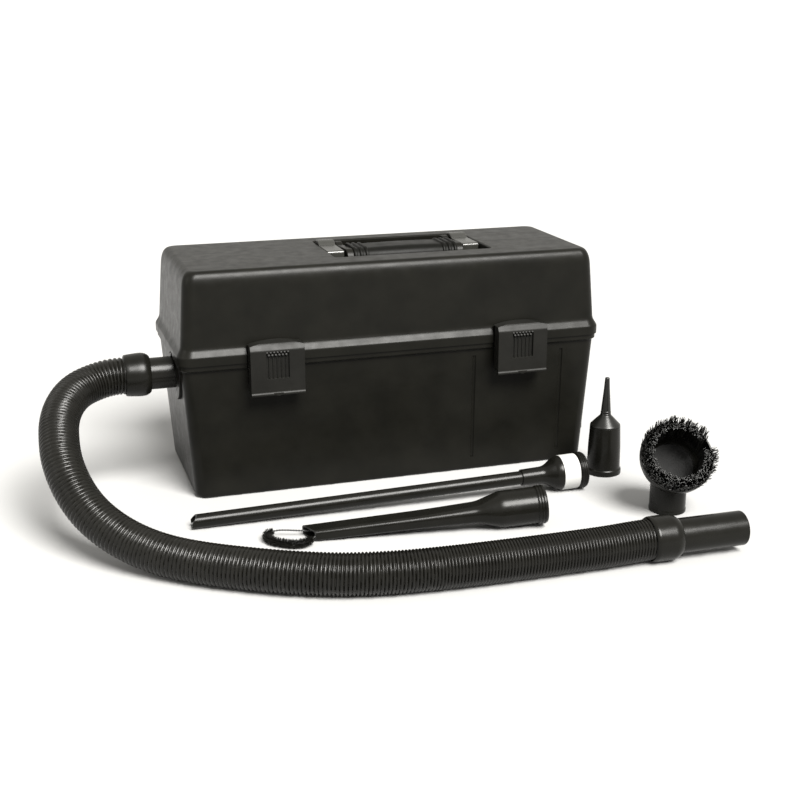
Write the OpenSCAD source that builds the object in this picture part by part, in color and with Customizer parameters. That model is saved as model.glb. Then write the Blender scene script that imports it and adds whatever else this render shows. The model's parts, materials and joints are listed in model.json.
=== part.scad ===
// Portable toolbox vacuum and blower: moulded case with hinged lid, two
// latches, fold-flat handle, motor and filter inside, corrugated hose and
// four loose cleaning tools. Millimetres. X to the right end, Y to the rear,
// Z up, origin at the centre of the case's flat bottom.

/* [Case] */
// Wall thickness of the base and lid shells, mm
case_wall = 3; // [2.6:0.1:3.2]
// Depth of the two upright grooves on the front panel, mm
groove_depth = 1.2; // [0.6:0.1:1.6]
// Thickness of the panel that closes the motor and filter chambers, mm
deck_thickness = 3; // [2.5:0.5:4]

/* [Latches] */
// Width of each latch, mm
latch_width = 52; // [50:0.5:53]
// Number of grip ribs near the top of each latch
latch_ribs = 7; // [5:1:9]

/* [Handle] */
// Height of the grip's rounded section, mm
grip_height = 23; // [21:1:24]
// Number of raised bands at each end of the grip
grip_bands = 3; // [2:1:4]

/* [Blower] */
// Blades on each impeller
blade_count = 9; // [6:1:12]
// Folds in the filter paper
pleat_count = 12; // [8:1:16]
// Slots in the exhaust grille
vent_slots = 6; // [4:1:6]

/* [Tools] */
// Depth of the socket in each cleaning tool, mm
socket_depth = 28; // [24:1:32]

/* [Hidden] */
$fn = 48;

// case outline: half lengths and half depths at each height
z_seam = 135;
z_top = 222;
rim_x = 215;
rim_y = 84.5;
corner_r = 11;
corner_steps = 5;
lid_gap = 0.3;

// latches
latch_x = 124;
latch_pin_y = -89;
latch_pin_z = 111;
latch_pin_r = 1.5;

// deck panel, its screw posts, and the grooves in the front panel
deck_z = 124;
post_x = [-188, 192];
post_y = [-65, 65];
groove_x = [79, 173];
groove_z0 = 14;
groove_z1 = 122;

// rear hinge
hinge_x = 130;
hinge_y = 89.8;
hinge_r = 4.6;
hinge_pin_r = 1.6;

// hose port in the left end
port_y = -36;
port_z = 119;
port_bore = 15.25;
tube_r = 15.2;
socket_r = 15.4;

// handle recess and pivot
recess_x0 = -52;
recess_x1 = 110;
recess_y0 = -42;
recess_y1 = 50;
recess_z = 196;
pivot_y = 36;
pivot_z = 212;
handle_pin_r = 3;
grip_x0 = -33;
grip_x1 = 91;
grip_half = 22;
grip_y = 5;
bracket_w = 17.4;
bracket_x = [recess_x0 + 9.3, recess_x1 - 9.3];
bracket_screw_y = [0, 44];

// motor
motor_z = 64;
shaft_r = 4;

black = [0.14, 0.14, 0.13];
soft_black = [0.10, 0.10, 0.10];
grey = [0.32, 0.32, 0.31];
steel = [0.72, 0.72, 0.74];
brass = [0.78, 0.62, 0.30];
copper = [0.72, 0.42, 0.22];
pale = [0.90, 0.89, 0.85];

// hose centreline, from the port's cuff to the tool end's cuff
hose_r = 18;
hose_route = [
    [-260, -36, 119], [-275, -37, 118.5], [-290, -41, 116], [-303, -49, 113],
    [-313, -61, 109], [-321, -77, 103], [-326, -96, 96], [-328, -116, 87],
    [-328, -135, 77], [-325, -152, 66], [-319, -168, 54], [-310, -184, 43],
    [-298, -200, 34], [-284, -215, 27], [-268, -230, 22], [-250, -245, 19],
    [-228, -262, 18], [-200, -281, 18], [-165, -301, 18], [-125, -318, 18],
    [-80, -328, 18], [-35, -332, 18], [10, -333.5, 18], [55, -334, 18],
    [100, -334.5, 18.5], [142, -335, 20]];

// where each loose tool lies
wand_pos = [-219, -145, 6.9];
wand_pitch = 1.69;
wand_yaw = -1.6;
crevice_pos = [-122, -199, 5.4];
crevice_pitch = 3.9;
crevice_yaw = -8.9;
nozzle_pos = [205, -123, 0];
dusting_pos = [217, -234, 0];
tool_end_pos = [142, -335, 20];
tool_end_yaw = -0.8;

// ---------- helpers ----------
function rr_pts(hx, hy, r, z) = [
    for (c = [0:3], k = [0:corner_steps])
        let (sx = (c == 0 || c == 3) ? 1 : -1)
        let (sy = c < 2 ? 1 : -1)
        let (a = 90*c + 90*k/corner_steps)
        [sx*(hx - r) + r*cos(a), sy*(hy - r) + r*sin(a), z]];

// solid through a list of rings that all have the same number of points
module loft(rows) {
    m = len(rows[0]);
    k = len(rows);
    polyhedron(
        points = [for (row = rows) each row],
        faces = concat(
            [[for (i = [0:m - 1]) i]],
            [for (j = [0:k - 2], i = [0:m - 1]) [j*m + i, (j + 1)*m + i, (j + 1)*m + (i + 1)%m]],
            [for (j = [0:k - 2], i = [0:m - 1]) [j*m + i, (j + 1)*m + (i + 1)%m, j*m + (i + 1)%m]],
            [[for (i = [m - 1:-1:0]) (k - 1)*m + i]]),
        convexity = 6);
}

function unit(v) = v/norm(v);
function tangent(p, i) = unit(p[min(i + 1, len(p) - 1)] - p[max(i - 1, 0)]);

// round tube swept along a list of points, upright reference, flat ends
module sweep(p, r, sides, first, last) {
    n = len(p);
    loft([for (i = [0:n - 1])
        let (t = i == 0 ? first : i == n - 1 ? last : tangent(p, i))
        let (s = unit(cross(t, [0, 0, 1])))
        let (u = cross(s, t))
        [for (k = [0:sides - 1]) p[i] + r*(cos(360*k/sides)*u + sin(360*k/sides)*s)]]);
}

// cylinder along +X from x0 to x1
module xcyl(x0, x1, r, y = 0, z = 0) {
    translate([x0, y, z]) rotate([0, 90, 0]) cylinder(h = x1 - x0, r = r);
}

// cylinder along +Y from y0 to y1
module ycyl(y0, y1, r, x = 0, z = 0) {
    translate([x, y1, z]) rotate([90, 0, 0]) cylinder(h = y1 - y0, r = r);
}

// box between two corners
module box(a, b) {
    translate(a) cube(b - a);
}

// flat plate with rounded corners, half sizes hx and hy
module plate(hx, hy, r, z0, z1) {
    translate([0, 0, z0]) linear_extrude(z1 - z0) rounded(hx, hy, r);
}

module rounded(hx, hy, r) {
    square([2*hx - 2*r, 2*hy], center = true);
    square([2*hx, 2*hy - 2*r], center = true);
    for (sx = [-1, 1], sy = [-1, 1]) translate([sx*(hx - r), sy*(hy - r)]) circle(r);
}

// outer half sizes of the drafted base at height z
function base_hx(z) = 202.8 + (z - 4.5)*8.7/125.5;
function base_hy(z) = 76.2 + (z - 4.5)*3.8/125.5;

module base_outer() {
    loft([
        rr_pts(198.6, 72, 8, 0),
        rr_pts(201.4, 74.8, 9.5, 1.3),
        rr_pts(202.8, 76.2, corner_r, 4.5),
        rr_pts(base_hx(129), base_hy(129), corner_r, 129),
        rr_pts(213.5, 83, 13, 130.2),
        rr_pts(213.5, 83, 13, z_seam - lid_gap)]);
}

module base_inner() {
    w = case_wall;
    loft([
        rr_pts(202.8 - w, 76.2 - w, 8, w),
        rr_pts(211.5 - w, 80 - w, 8, 131),
        rr_pts(211.5 - w, 80 - w, 8, z_seam + 1)]);
}

// ---------- case base ----------
module latch_ears(cx) {
    for (s = [-1, 1]) {
        x0 = cx + s*17 - 2;
        difference() {
            union() {
                xcyl(x0, x0 + 4, 3.2, latch_pin_y, latch_pin_z);
                box([x0, latch_pin_y, latch_pin_z - 1.2], [x0 + 4, -78.5, latch_pin_z + 3.2]);
            }
            xcyl(x0 - 1, x0 + 5, latch_pin_r, latch_pin_y, latch_pin_z);
        }
    }
}

module hinge_knuckle(x0, x1, side) {
    difference() {
        union() {
            xcyl(x0, x1, hinge_r, hinge_y, z_seam);
            if (side == "base") {
                box([x0, 82, z_seam - hinge_r], [x1, hinge_y, z_seam - 0.6]);
            } else {
                box([x0, 83, z_seam + 0.4], [x1, hinge_y, z_seam + hinge_r]);
            }
        }
        xcyl(x0 - 1, x1 + 1, side == "base" ? hinge_pin_r : hinge_pin_r + 0.08, hinge_y, z_seam);
    }
}

module deck_posts() {
    for (x = post_x, y = post_y)
        translate([x, y, 2]) cylinder(h = deck_z - 2.2, r = 5);
}

module base_shell() {
    color(black) difference() {
        union() {
            difference() {
                base_outer();
                base_inner();
            }
            deck_posts();
            for (s = [-1, 1]) latch_ears(s*latch_x);
            for (s = [-1, 1]) hinge_knuckle(s*hinge_x - 10, s*hinge_x + 10, "base");
        }
        // hose port: round opening cut flat below the rim, and a pass through the rim
        intersection() {
            xcyl(-230, -195, 27.1, port_y, port_z);
            box([-230, -80, 80], [-190, 20, 129]);
        }
        xcyl(-230, -195, 19.6, port_y, port_z);
        // blower outlet, switch, power inlet and exhaust slots in the right end
        xcyl(195, 230, 22.1, 34, 92);
        box([195, -52.1, 81.9], [230, -23.9, 118.1]);
        box([195, -60.1, 26.9], [230, -11.9, 61.1]);
        for (i = [0:vent_slots - 1]) box([195, 4 + i*9, 16], [230, 8 + i*9, 56]);
        // rim recess behind each latch
        for (s = [-1, 1])
            box([s*latch_x - 27, -86, 129.6], [s*latch_x + 27, -80.3, 140]);
        // upright grooves in the front panel
        for (gx = groove_x) hull() {
            ycyl(-79.6, -79.5 + groove_depth, 1.5, gx, groove_z1, $fn = 32);
            ycyl(-76.6, -76.5 + groove_depth, 1.5, gx, groove_z0, $fn = 32);
            ycyl(-90, -89, 1.5, gx, groove_z1, $fn = 32);
            ycyl(-90, -89, 1.5, gx, groove_z0, $fn = 32);
        }
        // bores in the posts for the deck screws
        for (x = post_x, y = post_y) translate([x, y, 100]) cylinder(h = 30, r = 2.1);
    }
}

module inlet_port() {
    color(black) difference() {
        union() {
            intersection() {
                xcyl(-213, -205.5, 27, port_y, port_z);
                box([-230, -80, 80], [-190, 20, 128.9]);
            }
            xcyl(-213, -181, 19.4, port_y, port_z);
        }
        xcyl(-214, -180, port_bore, port_y, port_z);
    }
}

module inlet_duct() {
    color(black) difference() {
        union() {
            xcyl(-180.8, -158, 19.4, port_y, port_z);
            box([-176, -58, 60], [-157.5, -14, port_z]);
        }
        xcyl(-182, -160, 15.6, port_y, port_z);
        box([-173, -54, 64], [-157, -18, port_z]);
    }
}

module deck_panel() {
    color(grey) difference() {
        union() {
            plate(207, 75.8, 8, deck_z, deck_z + deck_thickness);
            xcyl(-200, -155, 23, port_y, port_z);
        }
        xcyl(-208, -158, 20, port_y, port_z);
        box([-210, -70, 80], [-150, 0, deck_z]);
        box([-215, port_y - 20, 100], [-199.9, port_y + 20, 145]);
        box([-215, port_y - 27.4, 100], [-205.2, port_y + 27.4, 145]);
        for (x = post_x, y = post_y) translate([x, y, 110]) cylinder(h = 30, r = 2.2);
    }
}

module deck_screws() {
    head_z = deck_z + deck_thickness + 0.05;
    color(steel) for (x = post_x, y = post_y) translate([x, y, 0]) difference() {
        union() {
            translate([0, 0, 106]) cylinder(h = 22, r = 1.95);
            translate([0, 0, head_z]) cylinder(h = 2.4, r = 4);
        }
        translate([-3, -0.5, head_z + 1.35]) cube([6, 1, 3]);
        translate([-0.5, -3, head_z + 1.35]) cube([1, 6, 3]);
    }
}

// ---------- filter ----------
module filter_frame() {
    color(grey) difference() {
        box([-156, -68, 8], [-40, 68, 118]);
        box([-152, -64, 12], [-44, 64, 119]);
        box([-157, -56, 20], [-150, 56, 110]);
        box([-46, -56, 20], [-39, 56, 110]);
    }
}

module filter_media() {
    n = pleat_count;
    dy = 126/n;
    front = [for (i = [0:n - 1]) each [[-149, -63 + i*dy], [-139, -63 + (i + 0.5)*dy]]];
    back = [for (i = [n:-1:1]) each [[-47, -63 + i*dy], [-57, -63 + (i - 0.5)*dy]]];
    color(pale) translate([0, 0, 13]) linear_extrude(102)
        polygon(concat(front, [[-149, 63]], back, [[-47, -63]]));
}

// ---------- motor and fans ----------
module motor_bulkhead() {
    color(black) difference() {
        box([-26, -72.6, 3.3], [-22, 72.6, 123.6]);
        xcyl(-27, -21, 24, 0, motor_z);
    }
}

module motor_gasket() {
    color(soft_black) difference() {
        xcyl(-21.9, -18.2, 54, 0, motor_z);
        xcyl(-23, -17, 30, 0, motor_z);
    }
}

module motor_cradle() {
    color(black) difference() {
        box([97, -62, 3.3], [107, 62, 78]);
        xcyl(96, 108, 47.3, 0, motor_z);
        box([96, -40, 60], [108, 40, 90]);
        for (s = [-1, 1]) box([96, s*55 - 3, 12], [108, s*55 + 3, 50]);
    }
}

module motor_mount_ring() {
    color(soft_black) difference() {
        xcyl(95, 109, 47, 0, motor_z);
        xcyl(94, 110, 42.1, 0, motor_z);
        xcyl(94, 96.5, 49, 0, motor_z);
        xcyl(107.5, 110, 49, 0, motor_z);
    }
}

module fan_shroud() {
    color(steel) difference() {
        xcyl(-18, 30, 55, 0, motor_z);
        xcyl(-16.5, 27, 53.5, 0, motor_z);
        xcyl(-19, -16, 22, 0, motor_z);
        xcyl(26, 31, 12, 0, motor_z);
        for (k = [0:7]) translate([0, 0, motor_z]) rotate([45*k + 10, 0, 0])
            box([26, 30, -5], [31, 48, 5]);
    }
}

module motor_frame() {
    color(steel) difference() {
        union() {
            difference() {
                xcyl(30.2, 124, 42, 0, motor_z);
                xcyl(33, 121, 39.6, 0, motor_z);
                xcyl(29, 34, 9, 0, motor_z);
            }
            xcyl(32, 41, 14, 0, motor_z);
            xcyl(111, 122, 14, 0, motor_z);
        }
        xcyl(33, 42, 11.05, 0, motor_z);
        xcyl(110, 121.5, 11.05, 0, motor_z);
        xcyl(29, 34, 7, 0, motor_z);
        for (k = [0:5]) translate([0, 0, motor_z]) rotate([60*k + 30, 0, 0]) {
            box([92, 30, -9], [106, 50, 9]);
            box([29, 20, -5], [34, 36, 5]);
            box([120, 20, -5], [125, 36, 5]);
        }
    }
}

module stator() {
    color(grey) difference() {
        xcyl(48, 84, 39.4, 0, motor_z);
        xcyl(47, 85, 24, 0, motor_z);
        for (s = [-1, 1]) box([47, -21.2, motor_z + s*29.5 - 4.2], [85, 21.2, motor_z + s*29.5 + 4.2]);
    }
}

module field_coils() {
    color(copper) for (s = [-1, 1]) difference() {
        box([42.5, -21, motor_z + s*29.5 - 4], [89.5, 21, motor_z + s*29.5 + 4]);
        box([50, -14, motor_z + s*29.5 - 5], [82, 14, motor_z + s*29.5 + 5]);
    }
}

module brush_holders() {
    color(brass) for (s = [-1, 1]) difference() {
        box([95, min(s*14, s*38), motor_z - 5.5], [104, max(s*14, s*38), motor_z + 5.5]);
        box([96.4, min(s*13, s*37), motor_z - 4.1], [102.6, max(s*13, s*37), motor_z + 4.1]);
    }
}

module carbon_brushes() {
    color(soft_black) for (s = [-1, 1])
        box([96.6, min(s*12.7, s*26), motor_z - 3.9], [102.4, max(s*12.7, s*26), motor_z + 3.9]);
}

module bearing(x0) {
    difference() {
        xcyl(x0, x0 + 7, 11, 0, motor_z);
        xcyl(x0 - 1, x0 + 8, 4.05, 0, motor_z);
        for (e = [-1, 1]) difference() {
            xcyl(x0 + 3.5 + e*3.5 - 0.6, x0 + 3.5 + e*3.5 + 0.6, 9, 0, motor_z);
            xcyl(x0 - 2, x0 + 9, 6, 0, motor_z);
        }
    }
}

module bearings() {
    color(steel) {
        bearing(33.2);
        bearing(113.8);
    }
}

module motor_shaft() {
    color(steel) xcyl(-14, 120.9, shaft_r, 0, motor_z);
}

module armature() {
    color(grey) difference() {
        xcyl(48, 84, 23.2, 0, motor_z);
        xcyl(47, 85, shaft_r, 0, motor_z);
        for (k = [0:11]) translate([0, 0, motor_z]) rotate([30*k, 0, 0]) box([47, 14, -1.6], [85, 26, 1.6]);
    }
}

module commutator() {
    color(copper) difference() {
        xcyl(93, 106, 12.4, 0, motor_z);
        xcyl(92, 107, shaft_r, 0, motor_z);
        for (k = [0:11]) translate([0, 0, motor_z]) rotate([30*k + 15, 0, 0])
            box([94.5, 10, -0.35], [107, 14, 0.35]);
    }
}

module impeller(x0) {
    difference() {
        union() {
            xcyl(x0, x0 + 1.5, 50, 0, motor_z);
            xcyl(x0 - 9.5, x0 + 1.5, 9, 0, motor_z);
            difference() {
                xcyl(x0 - 9.5, x0 - 8.3, 50, 0, motor_z);
                xcyl(x0 - 10, x0 - 8, 20, 0, motor_z);
            }
            for (k = [0:blade_count - 1]) translate([0, 0, motor_z]) rotate([360/blade_count*k, 0, 0])
                translate([0, 26, 0]) rotate([-35, 0, 0]) box([x0 - 8.9, -8, -0.7], [x0 + 1, 25, 0.7]);
        }
        xcyl(x0 - 11, x0 + 3, shaft_r, 0, motor_z);
    }
}

module impellers() {
    color(steel) {
        impeller(2);
        impeller(20);
        difference() {
            xcyl(3.5, 10.5, 7, 0, motor_z);
            xcyl(3, 11, shaft_r, 0, motor_z);
        }
    }
}

module impeller_nut() {
    color(steel) difference() {
        translate([-13, 0, motor_z]) rotate([0, 90, 0]) cylinder(h = 5.4, r = 7.5, $fn = 6);
        xcyl(-14, -6, shaft_r, 0, motor_z);
    }
}

// ---------- right end fittings ----------
module outlet_port() {
    color(black) difference() {
        union() {
            xcyl(207, 213.5, 22, 34, 92);
            xcyl(178, 213.5, 18.4, 34, 92);
        }
        xcyl(177, 215, socket_r, 34, 92);
    }
}

module exhaust_filter() {
    color(soft_black) box([193, 2, 12], [199, 54.5, 60]);
}

module power_inlet() {
    color(soft_black) difference() {
        union() {
            box([203, -60, 27], [209.5, -12, 61]);
            box([184, -51, 32], [203, -21, 56]);
        }
        box([187, -48.2, 35.5], [210, -23.8, 52.5]);
        for (y = [-56, -16]) xcyl(200, 212, 1.7, y, 44);
    }
}

module inlet_contacts() {
    color(steel) {
        for (y = [-43.5, -28.5]) box([187, y - 1, 38.5], [202, y + 1, 42.5]);
        box([187, -37, 46.5], [202, -35, 50.5]);
        for (y = [-56, -16]) {
            xcyl(200.5, 209.55, 1.6, y, 44);
            xcyl(209.55, 211, 3, y, 44);
        }
    }
}

module switch_housing() {
    color(soft_black) difference() {
        union() {
            box([206, -52, 82], [213, -24, 118]);
            box([190, -49, 85], [206, -27, 115]);
        }
        box([193, -47, 87], [214, -29, 113]);
        ycyl(-50.5, -25.5, 1.55, 208, 100);
    }
}

module switch_rocker() {
    color(black) translate([208, 0, 100]) rotate([0, -10, 0]) {
        difference() {
            box([-5, -46.6, -12], [4.5, -29.4, 12]);
            translate([22, -20, 0]) rotate([90, 0, 0]) cylinder(h = 40, r = 20.5, $fn = 96);
        }
        ycyl(-50.2, -25.8, 1.5);
    }
}

module wire_harness() {
    color(soft_black) {
        xcyl(150, 189.8, 1.6, -38, 104);
        translate([150, -38, 104]) sphere(1.6);
        translate([150, -38, 84]) cylinder(h = 20, r = 1.6);
        translate([150, -38, 84]) sphere(1.6);
        xcyl(128, 150, 1.6, -38, 84);
        xcyl(160, 183.8, 1.6, -44, 44);
        translate([160, -44, 44]) sphere(1.6);
        translate([160, -44, 44]) cylinder(h = 50, r = 1.6);
        translate([160, -44, 94]) sphere(1.6);
        xcyl(160, 189.8, 1.6, -44, 94);
    }
}

module hinge_pins() {
    color(steel) for (s = [-1, 1]) xcyl(s*hinge_x - 20, s*hinge_x + 20, hinge_pin_r, hinge_y, z_seam);
}

// ---------- lid ----------
module lid_outer() {
    loft([
        rr_pts(rim_x, rim_y, 14, z_seam),
        rr_pts(rim_x, rim_y, 14, 143),
        rr_pts(211, 80, corner_r, 150),
        rr_pts(206.4, 76.9, corner_r, 211),
        rr_pts(205.6, 76.1, corner_r, 215.2),
        rr_pts(203.2, 73.7, 10, 218.8),
        rr_pts(199.6, 70.1, 8.5, 221.2),
        rr_pts(195.4, 65.9, 6, z_top)]);
}

module lid_inner() {
    w = case_wall;
    loft([
        rr_pts(211.5 - w, 80 - w, 8, z_seam - 1),
        rr_pts(211 - w, 80 - w, 8, 150),
        rr_pts(206.2 - w, 76.7 - w, 8, 211),
        rr_pts(202.6 - w, 73.1 - w, 6.5, 216),
        rr_pts(197 - w, 67.5 - w, 5, z_top - w)]);
}

module recess_cut(grow, z0, z1) {
    cx = (recess_x0 + recess_x1)/2;
    cy = (recess_y0 + recess_y1)/2;
    translate([cx, cy, 0])
        plate((recess_x1 - recess_x0)/2 + grow, (recess_y1 - recess_y0)/2 + grow, 4 + grow, z0, z1);
}

module lid_shell() {
    color(black) difference() {
        union() {
            difference() {
                lid_outer();
                lid_inner();
            }
            recess_cut(3, recess_z - 3, z_top - 2);
            for (s = [-1, 1]) {
                hinge_knuckle(s*hinge_x - 20, s*hinge_x - 10.3, "lid");
                hinge_knuckle(s*hinge_x + 10.3, s*hinge_x + 20, "lid");
            }
        }
        recess_cut(0, recess_z, z_top + 1);
        // room behind each latch
        for (s = [-1, 1])
            box([s*latch_x - 27, -86, z_seam - 1], [s*latch_x + 27, -80.4, 151]);
        // room for the base knuckles
        for (s = [-1, 1])
            xcyl(s*hinge_x - 10.3, s*hinge_x + 10.3, hinge_r + 0.5, hinge_y, z_seam);
        // room for the hose port's collar
        xcyl(-230, -195, 19.8, port_y, port_z);
        // groove for the seal
        difference() {
            plate(211.9, 80.3, 10, z_seam - 1, z_seam + 2.2);
            plate(209.9, 78.3, 8, z_seam - 2, z_seam + 3);
            for (s = [-1, 1])
                box([s*latch_x - 27.2, -90, z_seam - 2], [s*latch_x + 27.2, -70, z_seam + 3]);
        }
        // holes for the bracket screws
        for (x = bracket_x, y = bracket_screw_y) translate([x, y, 190]) cylinder(h = 8, r = 1.8);
    }
}

module lid_seal() {
    color(soft_black) difference() {
        plate(211.8, 80.2, 10, z_seam + 0.05, z_seam + 2.15);
        plate(210, 78.4, 8, z_seam - 1, z_seam + 3);
        for (s = [-1, 1])
            box([s*latch_x - 27.5, -90, z_seam - 2], [s*latch_x + 27.5, -70, z_seam + 3]);
        xcyl(-230, -195, 19.8, port_y, port_z);
    }
}

// ---------- handle ----------
module bracket(x0, x1) {
    difference() {
        union() {
            box([x0, -8, recess_z + 0.1], [x1, pivot_y, z_top - 0.5]);
            xcyl(x0, x1, 13.5, pivot_y, pivot_z);
            box([x0, pivot_y, recess_z + 0.1], [x1, pivot_y + 12, pivot_z]);
        }
        xcyl(x0 - 1, x1 + 1, handle_pin_r, pivot_y, pivot_z);
        for (y = bracket_screw_y) translate([(x0 + x1)/2, y, recess_z - 1]) cylinder(h = 9, r = 1.8);
    }
}

module handle_brackets() {
    color(black) for (x = bracket_x) bracket(x - bracket_w/2, x + bracket_w/2);
}

module bracket_screws() {
    color(steel) for (x = bracket_x, y = bracket_screw_y) translate([x, y, 0]) {
        translate([0, 0, 190.5]) cylinder(h = 12, r = 1.6);
        translate([0, 0, 190.2]) cylinder(h = 2.7, r = 3.5);
    }
}

// stadium-shaped bar along X, centred on y = 0
module grip_bar(x0, x1, half, r, z) {
    xcyl(x0, x1, r, grip_y - half + r, z);
    xcyl(x0, x1, r, grip_y + half - r, z);
    box([x0, grip_y - half + r, z - r], [x1, grip_y + half - r, z + r]);
}

module handle_grip() {
    r = grip_height/2;
    color(soft_black) difference() {
        union() {
            grip_bar(grip_x0 + 7.6, grip_x1 - 7.6, grip_half - 1.2, r - 1.2, 213);
            for (i = [0:grip_bands - 1], s = [0, 1]) {
                x0 = s == 0 ? grip_x0 + 7.6 + i*6 : grip_x1 - 7.6 - 3 - i*6;
                grip_bar(x0, x0 + 3, grip_half, r, 213);
            }
        }
        grip_bar(grip_x0 + 7, grip_x1 - 7, 10, 5, 213);
    }
}

module handle_arm(x0) {
    difference() {
        union() {
            xcyl(x0, x0 + 7, 11, pivot_y, pivot_z);
            box([x0, 0, pivot_z - 8.5], [x0 + 7, pivot_y, pivot_z + 8.5]);
            grip_bar(x0, x0 + 7, grip_half - 1.5, 10, 213);
        }
        xcyl(x0 - 1, x0 + 8, handle_pin_r + 0.05, pivot_y, pivot_z);
    }
}

module handle_arms() {
    color(black) {
        handle_arm(grip_x0 + 0.5);
        handle_arm(grip_x1 - 7.5);
        grip_bar(grip_x0 + 7, grip_x1 - 7, 9.9, 4.9, 213);
    }
}

module handle_pins() {
    color(steel) {
        xcyl(recess_x0 + 3, grip_x0 + 7.6, handle_pin_r - 0.02, pivot_y, pivot_z);
        xcyl(grip_x1 - 7.6, recess_x1 - 3, handle_pin_r - 0.02, pivot_y, pivot_z);
    }
}

// ---------- latches ----------
module latch_side() {
    polygon([[-96.5, 108], [-96.5, 149], [-95.6, 151.6], [-93, 153.8], [-88, 155.2],
        [-81.2, 156], [-81.2, 152.6], [-86, 151.8], [-90.6, 150.4], [-93, 147.6], [-93, 112],
        [-92.5, 107.4], [-92.5, 104.8], [-97.6, 104.8], [-97.6, 106.4]]);
}

module latch(cx) {
    w = latch_width;
    difference() {
        union() {
            difference() {
                translate([cx - w/2, 0, 0]) rotate([90, 0, 90]) linear_extrude(w) latch_side();
                // arched top edge
                difference() {
                    box([cx - w, -100, 150], [cx + w, -78, 170]);
                    ycyl(-101, -77, 230, cx, 156 - 230);
                }
                // window in the middle of the front
                box([cx - 11, -98, 121], [cx + 11, -95, 146]);
            }
            // side cheeks that carry the pin
            for (s = [-1, 1]) {
                x0 = s == 1 ? cx + w/2 - 3 : cx - w/2;
                box([x0, -94, 108.5], [x0 + 3, -85.2, 152]);
                xcyl(x0, x0 + 3, 3.6, latch_pin_y, latch_pin_z);
            }
            // ribs inside the window
            for (i = [0:4]) box([cx - 8.6 + i*4, -95.4, 121], [cx - 7.4 + i*4, -94.9, 146]);
            // grip ribs
            for (i = [0:latch_ribs - 1])
                box([cx - 10 + i*20/(latch_ribs - 1) - 0.8, -97.3, 142.5],
                    [cx - 10 + i*20/(latch_ribs - 1) + 0.8, -95, 150]);
            // finger bump on the bottom lip
            ycyl(-98.2, -92, 6, cx, 109.6);
        }
        // keep the bump to the lip
        box([cx - 8, -96.4, 107], [cx + 8, -95.9, 117]);
        box([cx - 8, -98.4, 107], [cx + 8, -96.5, 117]);
        box([cx - 8, -92.8, 107], [cx + 8, -90, 117]);
        xcyl(cx - w/2 - 1, cx + w/2 + 1, latch_pin_r + 0.06, latch_pin_y, latch_pin_z);
    }
}

module latch_left() {
    color(black) latch(-latch_x);
}

module latch_right() {
    color(black) latch(latch_x);
}

module latch_pins() {
    color(steel) for (s = [-1, 1])
        xcyl(s*latch_x - latch_width/2 + 0.4, s*latch_x + latch_width/2 - 0.4, latch_pin_r - 0.01,
            latch_pin_y, latch_pin_z);
}

// ---------- hose ----------
module hose() {
    color(soft_black) sweep(hose_route, hose_r, 12, [-1, 0, 0],
        [cos(tool_end_yaw), sin(tool_end_yaw), 0]);
}

module hose_inlet_tube() {
    color(black) difference() {
        xcyl(-236, -186, tube_r, port_y, port_z);
        xcyl(-237, -185, 13.4, port_y, port_z);
    }
}

module hose_inlet_cuff() {
    color(black) translate([-260, port_y, port_z]) rotate([0, 90, 0]) rotate_extrude()
        polygon([[13.4, 0], [20, 0], [21, 1], [21, 19], [17.5, 24], [13.4, 24]]);
}

module tool_end() {
    translate(tool_end_pos) rotate([0, 0, tool_end_yaw]) rotate([0, 90, 0]) children();
}

module hose_tool_cuff() {
    color(black) tool_end() rotate_extrude()
        polygon([[13.4, 0], [18.9, 0], [19.9, 1], [19.9, 22], [17, 27], [13.4, 27]]);
}

module hose_tool_tube() {
    color(black) tool_end() translate([0, 0, 27]) difference() {
        cylinder(h = 63, r = tube_r);
        translate([0, 0, -1]) cylinder(h = 65, r = 13.4);
    }
}

// ---------- wand ----------
module wand_frame() {
    translate(wand_pos) rotate([0, 0, wand_yaw]) rotate([0, -wand_pitch, 0]) rotate([0, 90, 0]) children();
}

module wand_tube() {
    color(black) wand_frame() difference() {
        cylinder(h = 332, r = 6.6);
        translate([0, 0, -1]) cylinder(h = 334, r = 5.4);
        translate([0, -8, 0]) rotate([0, 38, 0]) translate([-30, 0, -30]) cube([60, 16, 30]);
    }
}

module wand_adapter() {
    color(black) wand_frame() translate([0, 0, 320]) rotate_extrude()
        polygon([[6.7, 0], [8, 0], [8.4, 1], [8.4, 21], [9.4, 25], [12.5, 30], [15.4, 33.5],
            [16.8, 38], [16.8, 57.9], [15.4, 57.9], [15.4, 36], [6.7, 22]]);
}

module adapter_band() {
    color(pale) wand_frame() translate([0, 0, 360]) difference() {
        cylinder(h = 16.5, r = 17.15);
        translate([0, 0, -1]) cylinder(h = 19, r = 16.8);
    }
}

module adapter_ring() {
    color(soft_black) wand_frame() translate([0, 0, 378]) rotate_extrude()
        polygon([[15.4, 0], [17.4, 0], [18, 0.6], [18, 6.4], [17.4, 7], [15.4, 7]]);
}

// ---------- crevice tool and its bottle brush ----------
module crevice_frame() {
    translate(crevice_pos) rotate([0, 0, crevice_yaw]) rotate([0, -crevice_pitch, 0]) children();
}

// ring of the blade at distance s: half width, half height and corner radius
function blade_ring(s, hy, hz, r) = [
    for (c = [0:3], k = [0:corner_steps])
        let (sy = (c == 0 || c == 3) ? 1 : -1)
        let (sz = c < 2 ? 1 : -1)
        let (a = 90*c + 90*k/corner_steps)
        [s, sy*(hy - r) + r*cos(a), sz*(hz - r) + r*sin(a)]];

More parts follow.
